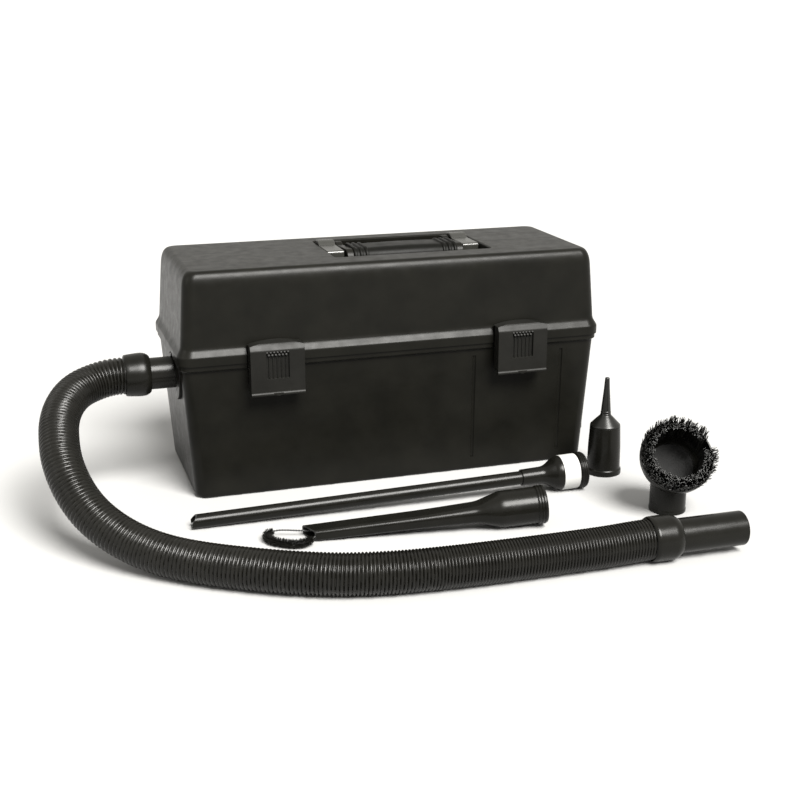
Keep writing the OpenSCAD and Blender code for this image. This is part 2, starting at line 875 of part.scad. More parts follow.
module crevice_tool() {
    color(black) crevice_frame() difference() {
        union() {
            loft([
                blade_ring(-12, 10, 4.9, 3),
                blade_ring(110, 11, 6.2, 4),
                blade_ring(150, 12, 8, 6),
                blade_ring(163, 14.5, 12, 10),
                blade_ring(172, 16.8, 16.4, 16.2),
                blade_ring(173, 16.8, 16.8, 16.79)]);
            xcyl(172.9, 206.9, 16.9);
        }
        loft([
            blade_ring(-13, 8.4, 3.4, 2),
            blade_ring(110, 9.4, 4.7, 3),
            blade_ring(150, 10.4, 6.5, 5),
            blade_ring(163, 12.6, 10.2, 8.5),
            blade_ring(172, 14.6, 14.2, 14),
            blade_ring(180, 14.6, 14.6, 14.59)]);
        xcyl(206.9 - socket_depth, 208, socket_r);
        // slanted tip
        translate([5, -10, -10]) rotate([0, 0, 28]) translate([-40, -10, 0]) cube([40, 60, 20]);
    }
}

module crevice_ring() {
    color(black) crevice_frame() translate([207, 0, 0]) rotate([0, 90, 0]) rotate_extrude()
        polygon([[15.4, 0], [17.2, 0], [17.8, 0.6], [17.8, 8.4], [17.2, 9], [15.4, 9]]);
}

brush_loop = [
    [12, 5.5, 0], [0, 5.8, 0], [-10, 6.5, 1], [-19, 8, 2], [-28, 9, 2.5], [-35, 6, 2.5],
    [-38, 0, 2], [-36, -7, 1.5], [-29, -14, 1], [-20, -19, 0.5], [-11, -21, 0], [-3, -18, 0],
    [0, -12, 0], [3, -6.6, 0], [14, -5, 0]];

module crevice_brush_wire() {
    color(steel) crevice_frame() sweep(brush_loop, 0.9, 8, [-1, 0, 0], [1, 0, 0]);
}

module crevice_brush_tufts() {
    p = [for (i = [5:11]) brush_loop[i] + [0, 0, 1]];
    color(soft_black) crevice_frame() difference() {
        sweep(p, 5, 10, unit(p[1] - p[0]), unit(p[6] - p[5]));
        sweep(brush_loop, 1, 8, [-1, 0, 0], [1, 0, 0]);
    }
}

// ---------- micro nozzle, standing on its socket ----------
module nozzle_body() {
    color(black) translate(nozzle_pos) rotate_extrude()
        polygon([[15.4, 0], [17.8, 0], [17.8, 5], [16.6, 6.4], [16.3, socket_depth], [15.2, 50],
            [13.2, 50], [13, socket_depth + 3], [15.4, socket_depth]]);
}

module nozzle_tip() {
    color(soft_black) translate(nozzle_pos) rotate_extrude()
        polygon([[3.4, 50.1], [15.2, 50.1], [15, 51.5], [7, 60], [5.4, 61], [4.8, 66], [2.3, 99.6],
            [1.6, 100], [1.1, 100], [1.6, 66]]);
}

// ---------- round dusting brush, standing on its neck ----------
module dusting_head() {
    translate([4.5, 1, 47]) rotate([0, 0, -14]) rotate([51, 0, 0]) children();
}

module dusting_brush_body() {
    color(black) translate(dusting_pos) difference() {
        union() {
            difference() {
                cylinder(h = 30, r = 17);
                dusting_head() rotate_extrude()
                    polygon([[0, -16.5], [16, -16.5], [26, -9], [31.6, 3], [32.6, 14], [38, 40], [0, 40]]);
            }
            dusting_head() rotate_extrude()
                polygon([[0, -20], [17, -20], [27, -12], [33, 2], [34.4, 10], [34.4, 14], [32.6, 14],
                    [31.6, 3], [26, -9], [16, -16.5], [0, -16.5]]);
        }
        translate([0, 0, -1]) cylinder(h = 21, r = socket_r);
        translate([0, 0, 15]) cylinder(h = 20, r = 12);
    }
}

module dusting_brush_bristles() {
    color(soft_black) translate(dusting_pos) dusting_head() difference() {
        rotate_extrude() polygon([[20.6, 2], [30.6, 2], [32.2, 13.8], [37, 26], [22, 27], [20.6, 12]]);
        // parting in the ring
        rotate([0, 0, 18]) translate([0, 0, 6]) linear_extrude(30)
            polygon([[19, -0.4], [45, -8], [45, 8], [19, 0.4]]);
    }
}

// ---------- build ----------
base_shell();
inlet_port();
inlet_duct();
deck_panel();
deck_screws();
filter_frame();
filter_media();
motor_bulkhead();
motor_gasket();
motor_cradle();
motor_mount_ring();
fan_shroud();
motor_frame();
stator();
field_coils();
brush_holders();
carbon_brushes();
bearings();
motor_shaft();
armature();
commutator();
impellers();
impeller_nut();
outlet_port();
exhaust_filter();
power_inlet();
inlet_contacts();
switch_housing();
switch_rocker();
wire_harness();
hinge_pins();
lid_shell();
lid_seal();
handle_brackets();
bracket_screws();
handle_grip();
handle_arms();
handle_pins();
latch_left();
latch_right();
latch_pins();
hose();
hose_inlet_tube();
hose_inlet_cuff();
hose_tool_cuff();
hose_tool_tube();
wand_tube();
wand_adapter();
adapter_band();
adapter_ring();
crevice_tool();
crevice_ring();
crevice_brush_wire();
crevice_brush_tufts();
nozzle_body();
nozzle_tip();
dusting_brush_body();
dusting_brush_bristles();
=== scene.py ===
import json
import math
import random

import bmesh
import bpy
from mathutils import Matrix, Vector


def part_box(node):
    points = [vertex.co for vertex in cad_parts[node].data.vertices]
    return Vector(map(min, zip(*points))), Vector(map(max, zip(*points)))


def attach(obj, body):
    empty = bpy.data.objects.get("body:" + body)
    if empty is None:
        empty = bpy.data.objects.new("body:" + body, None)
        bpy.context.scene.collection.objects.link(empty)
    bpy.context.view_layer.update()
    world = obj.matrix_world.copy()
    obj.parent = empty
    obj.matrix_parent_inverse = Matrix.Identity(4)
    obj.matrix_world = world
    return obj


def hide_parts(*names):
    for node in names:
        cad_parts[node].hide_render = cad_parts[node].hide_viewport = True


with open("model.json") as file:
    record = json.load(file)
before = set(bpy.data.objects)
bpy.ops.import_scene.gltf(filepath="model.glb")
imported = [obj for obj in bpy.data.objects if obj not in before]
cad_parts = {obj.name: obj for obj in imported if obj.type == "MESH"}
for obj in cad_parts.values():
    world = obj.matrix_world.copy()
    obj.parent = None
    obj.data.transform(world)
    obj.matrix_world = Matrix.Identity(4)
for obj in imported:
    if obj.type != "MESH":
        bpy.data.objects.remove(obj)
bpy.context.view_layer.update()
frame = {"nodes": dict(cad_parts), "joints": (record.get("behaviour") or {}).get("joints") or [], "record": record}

scene = bpy.context.scene
scene.view_settings.view_transform = "Standard"

MM = 0.001
JOINTS = {joint["name"]: joint for joint in frame["joints"]}
SHARP_ANGLE = math.radians(38)
PANEL_ANGLE = math.radians(28)
ROUND_ANGLE = math.radians(80)
FLAT_ANGLE = math.radians(0.5)
WELD_REACH = 0.01
LARGE_FACE_WEIGHT = 80


def corners(node):
    """Lowest and highest corner of a CAD node, in millimetres."""
    low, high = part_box(node)
    return low / MM, high / MM


def pivot(joint):
    """A point on a hinge's axis, in millimetres."""
    return Vector(JOINTS[joint]["pos_m"]) / MM


# ---------- camera ----------
CAMERA_LENS = 58.5
CAMERA_SENSOR = 36
CAMERA_TARGET = Vector((0.0268, 0, 0.0571))
CAMERA_DISTANCE = 1.3712
CAMERA_AZIMUTH = -17.8
CAMERA_ELEVATION = 17.2


def toward(azimuth, elevation):
    """Direction from the object to a point at an azimuth from the front and an elevation, in degrees."""
    azimuth, elevation = math.radians(azimuth), math.radians(elevation)
    return Vector((
        math.sin(azimuth) * math.cos(elevation),
        -math.cos(azimuth) * math.cos(elevation),
        math.sin(elevation)))


def make_camera():
    """Camera at the photo's viewing angle."""
    data = bpy.data.cameras.new("camera")
    data.lens = CAMERA_LENS
    data.sensor_width = CAMERA_SENSOR
    camera = bpy.data.objects.new("camera", data)
    scene.collection.objects.link(camera)
    back = toward(CAMERA_AZIMUTH, CAMERA_ELEVATION)
    camera.location = CAMERA_TARGET + back * CAMERA_DISTANCE
    camera.rotation_euler = (-back).to_track_quat("-Z", "Y").to_euler()
    scene.camera = camera


make_camera()


# ---------- outlines and paths ----------
WIDEST_CUT = 0.48  # share of a side that one rounded corner may take


def bend(points, cuts, steps, closed=False):
    """Rounds the corners of a line of points. cuts gives how far from each corner its curve starts."""
    points = [tuple(p) for p in points]
    count = len(points)
    if not hasattr(cuts, "__len__"):
        cuts = [cuts] * count
    out = []
    for i, (corner, cut_length) in enumerate(zip(points, cuts)):
        if cut_length <= 0 or (not closed and i in (0, count - 1)):
            out.append(Vector(corner))
            continue
        ends = []
        for other in (points[i - 1], points[(i + 1) % count]):
            reach = min(WIDEST_CUT, cut_length / math.dist(corner, other))
            ends.append([c + (o - c) * reach for c, o in zip(corner, other)])
        for k in range(steps + 1):
            t = k / steps
            out.append(Vector([
                a * (1 - t) ** 2 + c * 2 * t * (1 - t) + b * t ** 2
                for a, c, b in zip(ends[0], corner, ends[1])]))
    return out


def arc(cx, cy, radius, start, end, steps=12):
    """Points on a circle from one angle to another, in degrees."""
    angles = [math.radians(start + (end - start) * k / steps) for k in range(steps + 1)]
    return [Vector((cx + radius * math.cos(a), cy + radius * math.sin(a))) for a in angles]


def rectangle(x0, y0, x1, y1):
    """Corners of a rectangle."""
    return [(x0, y0), (x1, y0), (x1, y1), (x0, y1)]


def ring(size, steps=10):
    """Rounded rectangle from (half length, half depth, height, corner radius), as a level loop of points."""
    hx, hy, z, r = size
    points = []
    for quarter in range(4):
        cx, cy = (hx - r) * (1, -1, -1, 1)[quarter], (hy - r) * (1, 1, -1, -1)[quarter]
        for k in range(steps + 1):
            a = math.radians(90 * quarter + 90 * k / steps)
            points.append(Vector((cx + r * math.cos(a), cy + r * math.sin(a), z)))
    return points


def catmull(points, first, last, per_span):
    """Smooth curve through points, with given directions at its two ends."""
    points = [Vector(p) for p in points]
    spans = [(b - a).length for a, b in zip(points, points[1:])]
    slopes = [Vector(first).normalized()]
    for i in range(1, len(points) - 1):
        slopes.append((points[i + 1] - points[i - 1]) / (spans[i - 1] + spans[i]))
    slopes.append(Vector(last).normalized())
    out = []
    for i, span in enumerate(spans):
        for k in range(per_span):
            t = k / per_span
            out.append(
                points[i] * (2 * t ** 3 - 3 * t ** 2 + 1) + slopes[i] * span * (t ** 3 - 2 * t ** 2 + t)
                + points[i + 1] * (-2 * t ** 3 + 3 * t ** 2) + slopes[i + 1] * span * (t ** 3 - t ** 2))
    return out + [points[-1]]


def turns(sides):
    """Angles of a closed ring's points."""
    return [2 * math.pi * k / sides for k in range(sides)]


def resample(line, step):
    """Points along a line at equal distances close to step."""
    lengths = [0.0]
    for a, b in zip(line, line[1:]):
        lengths.append(lengths[-1] + (b - a).length)
    count = max(1, round(lengths[-1] / step))
    out, i = [], 0
    for k in range(count + 1):
        at = lengths[-1] * k / count
        while i < len(line) - 2 and lengths[i + 1] < at:
            i += 1
        share = (at - lengths[i]) / (lengths[i + 1] - lengths[i])
        out.append(line[i].lerp(line[i + 1], share))
    return out


def cross_frames(line):
    """(point, side, up) along a line, turned as little as possible from one point to the next."""
    count = len(line)
    tangents = [(line[min(i + 1, count - 1)] - line[max(i - 1, 0)]).normalized() for i in range(count)]
    side = tangents[0].cross(Vector((0, 0, 1))).normalized()
    frames = []
    for point, tangent in zip(line, tangents):
        side = (side - tangent * side.dot(tangent)).normalized()
        frames.append((point, side, side.cross(tangent)))
    return frames


# ---------- solids ----------
ON_AXIS = 1e-6  # a smaller radius is a pole


def turn_outward(bm):
    """Makes every face look out of the solid."""
    bmesh.ops.recalc_face_normals(bm, faces=bm.faces)
    if bm.calc_volume(signed=True) < 0:
        bmesh.ops.reverse_faces(bm, faces=bm.faces)


def skin(bm, rows, closed_rows=False):
    """Joins rows of points, each a closed loop, with faces, and caps both ends unless the rows close."""
    rows = [[bm.verts.new(p) for p in row] for row in rows]
    count = len(rows[0])
    pairs = list(zip(rows, rows[1:]))
    if closed_rows:
        pairs.append((rows[-1], rows[0]))
    for a, b in pairs:
        for i in range(count):
            j = (i + 1) % count
            bm.faces.new((a[i], a[j], b[j], b[i]))
    if not closed_rows:
        bm.faces.new(list(reversed(rows[0])))
        bm.faces.new(rows[-1])
    return bm


def loft(rows, closed_rows=False):
    """Solid through rows of points."""
    bm = skin(bmesh.new(), rows, closed_rows)
    turn_outward(bm)
    return bm


def lathe(profile, sides, place):
    """Turns a closed profile of (radius, height) points about Z and places it. Points on Z become poles."""
    bm = bmesh.new()
    rows = []
    for radius, height in profile:
        if radius < ON_AXIS:
            rows.append([bm.verts.new((0, 0, height))])
            continue
        rows.append([
            bm.verts.new((radius * math.cos(a), radius * math.sin(a), height)) for a in turns(sides)])
    pairs = list(zip(rows, rows[1:]))
    if len(rows[0]) > 1 or len(rows[-1]) > 1:
        pairs.append((rows[-1], rows[0]))
    for a, b in pairs:
        if len(a) == 1 and len(b) == 1:
            continue
        for i in range(sides):
            j = (i + 1) % sides
            loop = [a[i % len(a)], a[j % len(a)], b[j % len(b)], b[i % len(b)]]
            bm.faces.new(list(dict.fromkeys(loop)))
    turn_outward(bm)
    bm.transform(place)
    return bm


def brick(low, high):
    """Box between two corners."""
    bm = bmesh.new()
    bmesh.ops.create_cube(bm, size=1)
    low, high = Vector(low), Vector(high)
    size = high - low
    bm.transform(Matrix.Translation((low + high) / 2) @ Matrix.Diagonal((*size, 1)))
    return bm


def prism(outline, x0, x1):
    """Outline of (y, z) points drawn out along X."""
    rows = [[Vector((x, p[0], p[1])) for p in outline] for x in (x0, x1)]
    return loft(rows)


def rod_x(x0, x1, radius, y, z):
    """Round bar along X."""
    return prism(arc(y, z, radius, 0, 360, 64)[:-1], x0, x1)


def upright(x, y, z0, z1, radius, sides=32):
    """Round bar along Z."""
    return lathe([(0, z0), (radius, z0), (radius, z1), (0, z1)], sides, Matrix.Translation((x, y, 0)))


def merge(*parts):
    """Puts several separate solids into the first one's mesh."""
    whole = parts[0]
    for part in parts[1:]:
        mesh = bpy.data.meshes.new("part")
        part.to_mesh(mesh)
        part.free()
        whole.from_mesh(mesh)
        bpy.data.meshes.remove(mesh)
    return whole


def to_object(name, bm):
    """Makes an object of a loose mesh."""
    mesh = bpy.data.meshes.new(name)
    bm.to_mesh(mesh)
    bm.free()
    obj = bpy.data.objects.new(name, mesh)
    scene.collection.objects.link(obj)
    return obj


def discard(obj):
    """Removes an object and its mesh."""
    mesh = obj.data
    bpy.data.objects.remove(obj)
    bpy.data.meshes.remove(mesh)


def to_loose_mesh(obj):
    """Takes an object's mesh and removes the object."""
    bm = bmesh.new()
    bm.from_mesh(obj.data)
    discard(obj)
    return bm


def settle(obj):
    """Applies an object's modifiers to its mesh."""
    bpy.context.view_layer.update()
    evaluated = obj.evaluated_get(bpy.context.evaluated_depsgraph_get())
    mesh = bpy.data.meshes.new_from_object(evaluated)
    obj.modifiers.clear()
    old, obj.data = obj.data, mesh
    bpy.data.meshes.remove(old)
    return obj


def boolean(obj, operation, tools):
    """Applies loose meshes to an object, one after another."""
    for bm in tools:
        tool = to_object("tool", bm)
        modifier = obj.modifiers.new("boolean", "BOOLEAN")
        modifier.operation = operation
        modifier.solver = "MANIFOLD"
        modifier.object = tool
        settle(obj)
        discard(tool)


def cut(obj, *tools):
    """Takes solids away from an object."""
    boolean(obj, "DIFFERENCE", tools)


def add(obj, *tools):
    """Joins solids to an object."""
    boolean(obj, "UNION", tools)


def turned(outline, cuts, steps, sides, place):
    """Object turned from a closed outline with rounded corners."""
    return to_object("turned", lathe(bend(outline, cuts, steps, True), sides, place))


def soften(obj, width, segments=2):
    """Rounds the sharp edges of a mesh that is still in millimetres."""
    bm = bmesh.new()
    bm.from_mesh(obj.data)
    bmesh.ops.remove_doubles(bm, verts=bm.verts, dist=WELD_REACH)
    bmesh.ops.dissolve_limit(bm, angle_limit=FLAT_ANGLE, verts=bm.verts, edges=bm.edges)
    bm.to_mesh(obj.data)
    bm.free()
    modifier = obj.modifiers.new("bevel", "BEVEL")
    modifier.width = width
    modifier.segments = segments
    modifier.limit_method = "ANGLE"
    modifier.angle_limit = SHARP_ANGLE
    modifier.use_clamp_overlap = False
    return settle(obj)


def shade(obj, angle):
    """Smooth faces with sharp edges above an angle, and normals led by the large faces."""
    bm = bmesh.new()
    bm.from_mesh(obj.data)
    for face in bm.faces:
        face.smooth = True
    for edge in bm.edges:
        edge.smooth = not edge.is_manifold or edge.calc_face_angle() < angle
    bm.to_mesh(obj.data)
    bm.free()
    modifier = obj.modifiers.new("normals", "WEIGHTED_NORMAL")
    modifier.keep_sharp = True
    modifier.weight = LARGE_FACE_WEIGHT


def finished(obj, name, body, material, stands_for=(), angle=SHARP_ANGLE):
    """Scales a mesh to metres, gives it its material, and puts it on its body in place of its CAD nodes."""
    obj.name = name
    obj.data.name = name
    obj.data.transform(Matrix.Scale(MM, 4))
    shade(obj, angle)
    obj.data.materials.clear()
    obj.data.materials.append(MATERIALS[material])
    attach(obj, body)
    if stands_for:
        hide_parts(*stands_for)
    return obj


# ---------- materials ----------
NOISE_LOW, NOISE_HIGH = 0.3, 0.7


def grey(value):
    """Neutral colour."""
    return (value, value, value)


def fill(tree, node, inputs):
    """Sets a node's inputs. A socket is linked, and anything else is the input's own value."""
    for name, value in inputs.items():
        if isinstance(value, bpy.types.NodeSocket):
            tree.links.new(value, node.inputs[name])
        else:
            node.inputs[name].default_value = value


def add_node(tree, kind, inputs):
    """New shader node with its inputs set."""
    node = tree.nodes.new("ShaderNode" + kind)
    fill(tree, node, inputs)
    return node


def start_material(name):
    """New material with its node tree and its object coordinates."""
    material = bpy.data.materials.new(name)
    material.use_nodes = True
    tree = material.node_tree
    return material, tree, add_node(tree, "TexCoord", {}).outputs["Object"]


def finish_material(material, inputs):
    """Sets the inputs of a material's shader."""
    tree = material.node_tree
    fill(tree, tree.nodes["Principled BSDF"], inputs)
    return material


def noise(tree, coords, scale, detail, stretch=None):
    """Noise with its features 1/scale metres across, stretched along an axis if asked."""
    if stretch:
        coords = add_node(tree, "Mapping", {"Scale": stretch, "Vector": coords}).outputs["Vector"]
    return add_node(tree, "TexNoise", {"Scale": scale, "Detail": detail, "Vector": coords}).outputs["Fac"]


def remap(tree, value, low, high):
    """Turns a noise value into a value between low and high."""
    inputs = {"From Min": NOISE_LOW, "From Max": NOISE_HIGH, "To Min": low, "To Max": high, "Value": value}
    return add_node(tree, "MapRange", inputs).outputs["Result"]


def two_tones(tree, value, dark, light):
    """Turns a noise value into a colour between dark and light."""
    node = add_node(tree, "ValToRGB", {"Fac": value})
    tones = ((NOISE_LOW, dark), (NOISE_HIGH, light))
    for element, (position, colour) in zip(node.color_ramp.elements, tones):
        element.position = position
        element.color = (*colour, 1)
    return node.outputs["Color"]


def bump(tree, height, strength, distance, **under):
    """Normal of a surface roughened by a height, on top of another bump's Normal if one is given."""
    inputs = {"Strength": strength, "Distance": distance, "Height": height, **under}
    return add_node(tree, "Bump", inputs).outputs["Normal"]


def plastic(name, dark, light, roughness, grain, grain_depth, specular, scuffs):
    """Moulded plastic: slow colour drift, uneven gloss, fine moulded grain and faint scuffs."""
    material, tree, coords = start_material(name)
    gloss = remap(tree, noise(tree, coords, 90, 3), roughness - 0.04, roughness + 0.05)
    scratch = noise(tree, coords, 160, 2, (0.12, 1, 3))
    mixed = add_node(tree, "Math", {0: scratch, 1: scuffs, 2: gloss})
    mixed.operation = "MULTIPLY_ADD"
    waves = bump(tree, noise(tree, coords, 45, 2), 0.12, 0.0002)
    return finish_material(material, {
        "Base Color": two_tones(tree, noise(tree, coords, 35, 4), dark, light),
        "Roughness": mixed.outputs[0],
        "Specular IOR Level": specular,
        "Normal": bump(tree, noise(tree, coords, grain, 3), 0.6, grain_depth, Normal=waves)})


def metal(name, colour, roughness, stretch):
    """Turned or drawn metal with fine lines along one direction."""
    material, tree, coords = start_material(name)
    lines = noise(tree, coords, 500, 3, stretch)
    dark = tuple(0.82 * c for c in colour)
    return finish_material(material, {
        "Base Color": two_tones(tree, lines, dark, colour),
        "Roughness": remap(tree, lines, roughness - 0.06, roughness + 0.1),
        "Metallic": 1,
        "Normal": bump(tree, lines, 0.3, 0.00004)})


def soft(name, dark, light, roughness, pores, depth):
    """Rubber, foam, felt or paper: matt, with pores or fibres."""
    material, tree, coords = start_material(name)
    cells = add_node(tree, "TexVoronoi", {"Scale": pores, "Vector": coords})
    drift = noise(tree, coords, pores / 6, 3)
    return finish_material(material, {
        "Base Color": two_tones(tree, drift, dark, light),
        "Roughness": remap(tree, drift, roughness - 0.06, roughness + 0.06),
        "Specular IOR Level": 0.35,
        "Normal": bump(tree, cells.outputs["Distance"], 0.5, depth)})


# dark and light colour, roughness, grain per metre, grain depth, specular level, scuffs
PLASTICS = {
    "case_black": ((0.0034, 0.0033, 0.0025), (0.0054, 0.0052, 0.0040), 0.30, 1300, 0.00006, 0.118, 0.08),
    "inner_black": (grey(0.008), grey(0.012), 0.5, 1500, 0.00005, 0.3, 0.1),
    "grey_plastic": ((0.07, 0.07, 0.068), (0.10, 0.10, 0.097), 0.45, 1500, 0.00005, 0.4, 0.1),
    "latch_black": ((0.0050, 0.0049, 0.0042), (0.0076, 0.0074, 0.0064), 0.36, 1700, 0.00003, 0.14, 0.1),
    "grip_soft": ((0.0030, 0.0030, 0.0026), (0.0050, 0.0050, 0.0043), 0.34, 2200, 0.00003, 0.06, 0.1),
    # bracket blocks: the case's plastic with a lighter base colour as a painted highlight, and a higher real gloss
    "bracket_gloss": ((0.016, 0.016, 0.014), (0.024, 0.024, 0.021), 0.22, 2400, 0.00002, 0.60, 0.1),
    "tool_black": ((0.0034, 0.0033, 0.0026), (0.0054, 0.0052, 0.0042), 0.22, 2500, 0.000015, 0.155, 0.08),
    "tip_black": ((0.0040, 0.0040, 0.0034), (0.0060, 0.0060, 0.0052), 0.26, 2500, 0.00001, 0.40, 0.06),
    "hose_black": ((0.0034, 0.0032, 0.0025), (0.0056, 0.0053, 0.0042), 0.22, 1800, 0.00002, 0.25, 0.1),
    "switch_black": (grey(0.006), grey(0.009), 0.2, 2600, 0.00001, 0.3, 0.1),
    "band_white": ((0.36, 0.36, 0.35), (0.43, 0.43, 0.42), 0.42, 3000, 0.00001, 0.5, 0.1),
}
# colour, roughness, stretch of the fine lines
METALS = {
    "bright_steel": ((0.56, 0.56, 0.57), 0.28, (1, 12, 12)),
    "wire_dark": (grey(0.10), 0.4, (1, 12, 12)),
    "copper_wire": ((0.62, 0.27, 0.12), 0.32, (1, 20, 3)),
    "brass_parts": ((0.66, 0.47, 0.18), 0.35, (1, 10, 10)),
}
# dark and light colour, roughness, pores per metre, pore depth
SOFT_MATERIALS = {
    "filter_paper": ((0.62, 0.58, 0.46), (0.74, 0.70, 0.58), 0.85, 900, 0.0001),
    "seal_rubber": (grey(0.012), grey(0.020), 0.7, 1400, 0.00005),
    "soft_black": (grey(0.010), grey(0.018), 0.6, 1600, 0.00004),
    # foam_black also colours the dark disc in the dusting cup, which is painted shade there
    "foam_black": (grey(0.006), grey(0.014), 0.95, 700, 0.0004),
    "bristle_black": ((0.0030, 0.0030, 0.0024), (0.0075, 0.0072, 0.0060), 0.36, 2200, 0.00002),
}


def make_materials():
    """One material for each slot of the record."""
    made = {}
    for make, table in ((plastic, PLASTICS), (metal, METALS), (soft, SOFT_MATERIALS)):
        made.update({name: make(name, *values) for name, values in table.items()})
    return made


MATERIALS = make_materials()


# ---------- hose, cuffs and tool tube ----------
HOSE_RADIUS = 18
HOSE_CLEARANCE = 0.25
HOSE_SIDES = 48
HOSE_INSIDE_CUFF = 6
RIB_PITCH = 2.8
STRETCHED_PITCH = 3.9
STRETCHED_SHARE, EASING_SHARE = 0.35, 0.4
RIB_DEPTH = 1.5
RINGS_PER_RIB = 8
CUFF_BORE = 18.3
TUBE_RADIUS, TUBE_BORE = 15.2, 13.4
TOOL_CUFF_LENGTH = 27
TOOL_TUBE_LENGTH = 63
HOSE_ROUTE = [
    (-0.260, -0.036, 0.119), (-0.275, -0.037, 0.1185), (-0.290, -0.041, 0.116),
    (-0.303, -0.049, 0.113), (-0.313, -0.061, 0.109), (-0.321, -0.077, 0.103),
    (-0.326, -0.096, 0.096), (-0.328, -0.116, 0.087), (-0.328, -0.135, 0.077),
    (-0.325, -0.152, 0.066), (-0.319, -0.168, 0.054), (-0.310, -0.184, 0.043),
    (-0.298, -0.200, 0.034), (-0.284, -0.215, 0.027), (-0.268, -0.230, 0.022),
    (-0.250, -0.245, 0.019), (-0.228, -0.262, 0.018), (-0.200, -0.281, 0.018),
    (-0.165, -0.301, 0.018), (-0.125, -0.318, 0.018), (-0.080, -0.328, 0.018),
    (-0.035, -0.332, 0.018), (0.010, -0.3335, 0.018), (0.055, -0.334, 0.018),
    (0.100, -0.3345, 0.0185), (0.142, -0.335, 0.020)]
TOOL_YAW = math.radians(-0.8)
TOOL_DIRECTION = Vector((math.cos(TOOL_YAW), math.sin(TOOL_YAW), 0))
TOOL_END = Vector(HOSE_ROUTE[-1]) / MM
PORT_POINT = Vector(HOSE_ROUTE[0]) / MM


def along(point, direction):
    """Places a shape made along Z at a point, with its Z along a direction."""
    turn = Vector(direction).to_track_quat("Z", "Y").to_matrix().to_4x4()
    return Matrix.Translation(point) @ turn


def make_hose():
    """Corrugated hose: one skin whose radius follows a rib that winds round it."""
    route = [Vector(p) / MM for p in HOSE_ROUTE]
    line = catmull(route, (-1, 0, 0), TOOL_DIRECTION, 12)
    start = line[0] + Vector((HOSE_INSIDE_CUFF, 0, 0))
    end = line[-1] + TOOL_DIRECTION * HOSE_INSIDE_CUFF
    line = resample([start] + line + [end], RIB_PITCH / RINGS_PER_RIB)
    rows = []
    wound = 0
    for i, (point, side, up) in enumerate(cross_frames(line)):
        # the ribs lie wider apart near the case, where the hose is stretched round its bend
        relaxed = min(1, max(0, (i / len(line) - STRETCHED_SHARE) / EASING_SHARE))
        wound += RIB_PITCH / (STRETCHED_PITCH + (RIB_PITCH - STRETCHED_PITCH) * relaxed) / RINGS_PER_RIB
        row = []
        for k in range(HOSE_SIDES):
            turn = k / HOSE_SIDES
            phase = (wound + turn) % 1
            crest = 1 - (2 * phase - 1) ** 2
            radius = HOSE_RADIUS - HOSE_CLEARANCE - RIB_DEPTH * (1 - crest)
            a = 2 * math.pi * turn
            row.append(point + (up * math.cos(a) + side * math.sin(a)) * radius)
        rows.append(row)
    hose = to_object("hose", loft(rows))
    finished(hose, "hose_body", "hose_set", "hose_black", ["hose"], ROUND_ANGLE)
    return hose, [p * MM for p in line[::4]]


def hose_part(name, node, outline, cuts, sides, place):
    """Turned part on one end of the hose."""
    return finished(turned(outline, cuts, 4, sides, place), name, "hose_set", "tool_black", [node])


def make_inlet_cuff():
    """Swivel cuff at the case end: a barrel that narrows to the smooth tube."""
    outline = [(CUFF_BORE, 7), (CUFF_BORE, 0), (19.5, 0), (20.0, 2.5), (21, 15), (20.4, 19.5), (18.6, 22.6),
               (17.2, 24), (TUBE_BORE, 24), (TUBE_BORE, 7)]
    cuts = [0, 0.5, 0.6, 2, 4, 2, 1.2, 0.8, 0.5, 0]
    return hose_part("inlet_cuff", "hose_inlet_cuff", outline, cuts, 80, along(PORT_POINT, (1, 0, 0)))


def make_inlet_tube():
    """Smooth tube from the cuff into the case."""
    low, high = corners("hose_inlet_tube")
    length = high.x - low.x
    outline = [(TUBE_RADIUS, 0), (TUBE_RADIUS, length), (TUBE_BORE, length), (TUBE_BORE, 0)]
    place = along((low.x, PORT_POINT.y, PORT_POINT.z), (1, 0, 0))
    tube = turned(outline, [0, 1, 0.4, 0], 3, 72, place)
    return finished(tube, "inlet_tube", "hose_set", "tool_black", ["hose_inlet_tube"])


def make_tool_cuff():
    """Plain cuff at the tool end."""
    outline = [(CUFF_BORE, 7), (CUFF_BORE, 0), (18.9, 0), (19.9, 2.5), (19.9, 20.5), (18.6, 24),
               (16.6, TOOL_CUFF_LENGTH), (TUBE_BORE, TOOL_CUFF_LENGTH), (TUBE_BORE, 7)]
    cuts = [0, 0.3, 0.8, 1.2, 2.2, 1.5, 0.8, 0.5, 0]
    return hose_part("tool_cuff", "hose_tool_cuff", outline, cuts, 80, along(TOOL_END, TOOL_DIRECTION))


def make_tool_tube():
    """Smooth tube that the tools push onto, with a rounded end."""
    length = TOOL_TUBE_LENGTH
    outline = [(TUBE_RADIUS, 0), (TUBE_RADIUS, length), (14.4, length), (TUBE_BORE, length), (TUBE_BORE, 0)]
    place = along(TOOL_END + TOOL_DIRECTION * TOOL_CUFF_LENGTH, TOOL_DIRECTION)
    return hose_part("tool_tube", "hose_tool_tube", outline, [0, 1.2, 0.3, 0.5, 0], 72, place)


hose, hose_path = make_hose()
hose_pieces = [make_inlet_cuff(), make_inlet_tube(), make_tool_cuff(), make_tool_tube()]


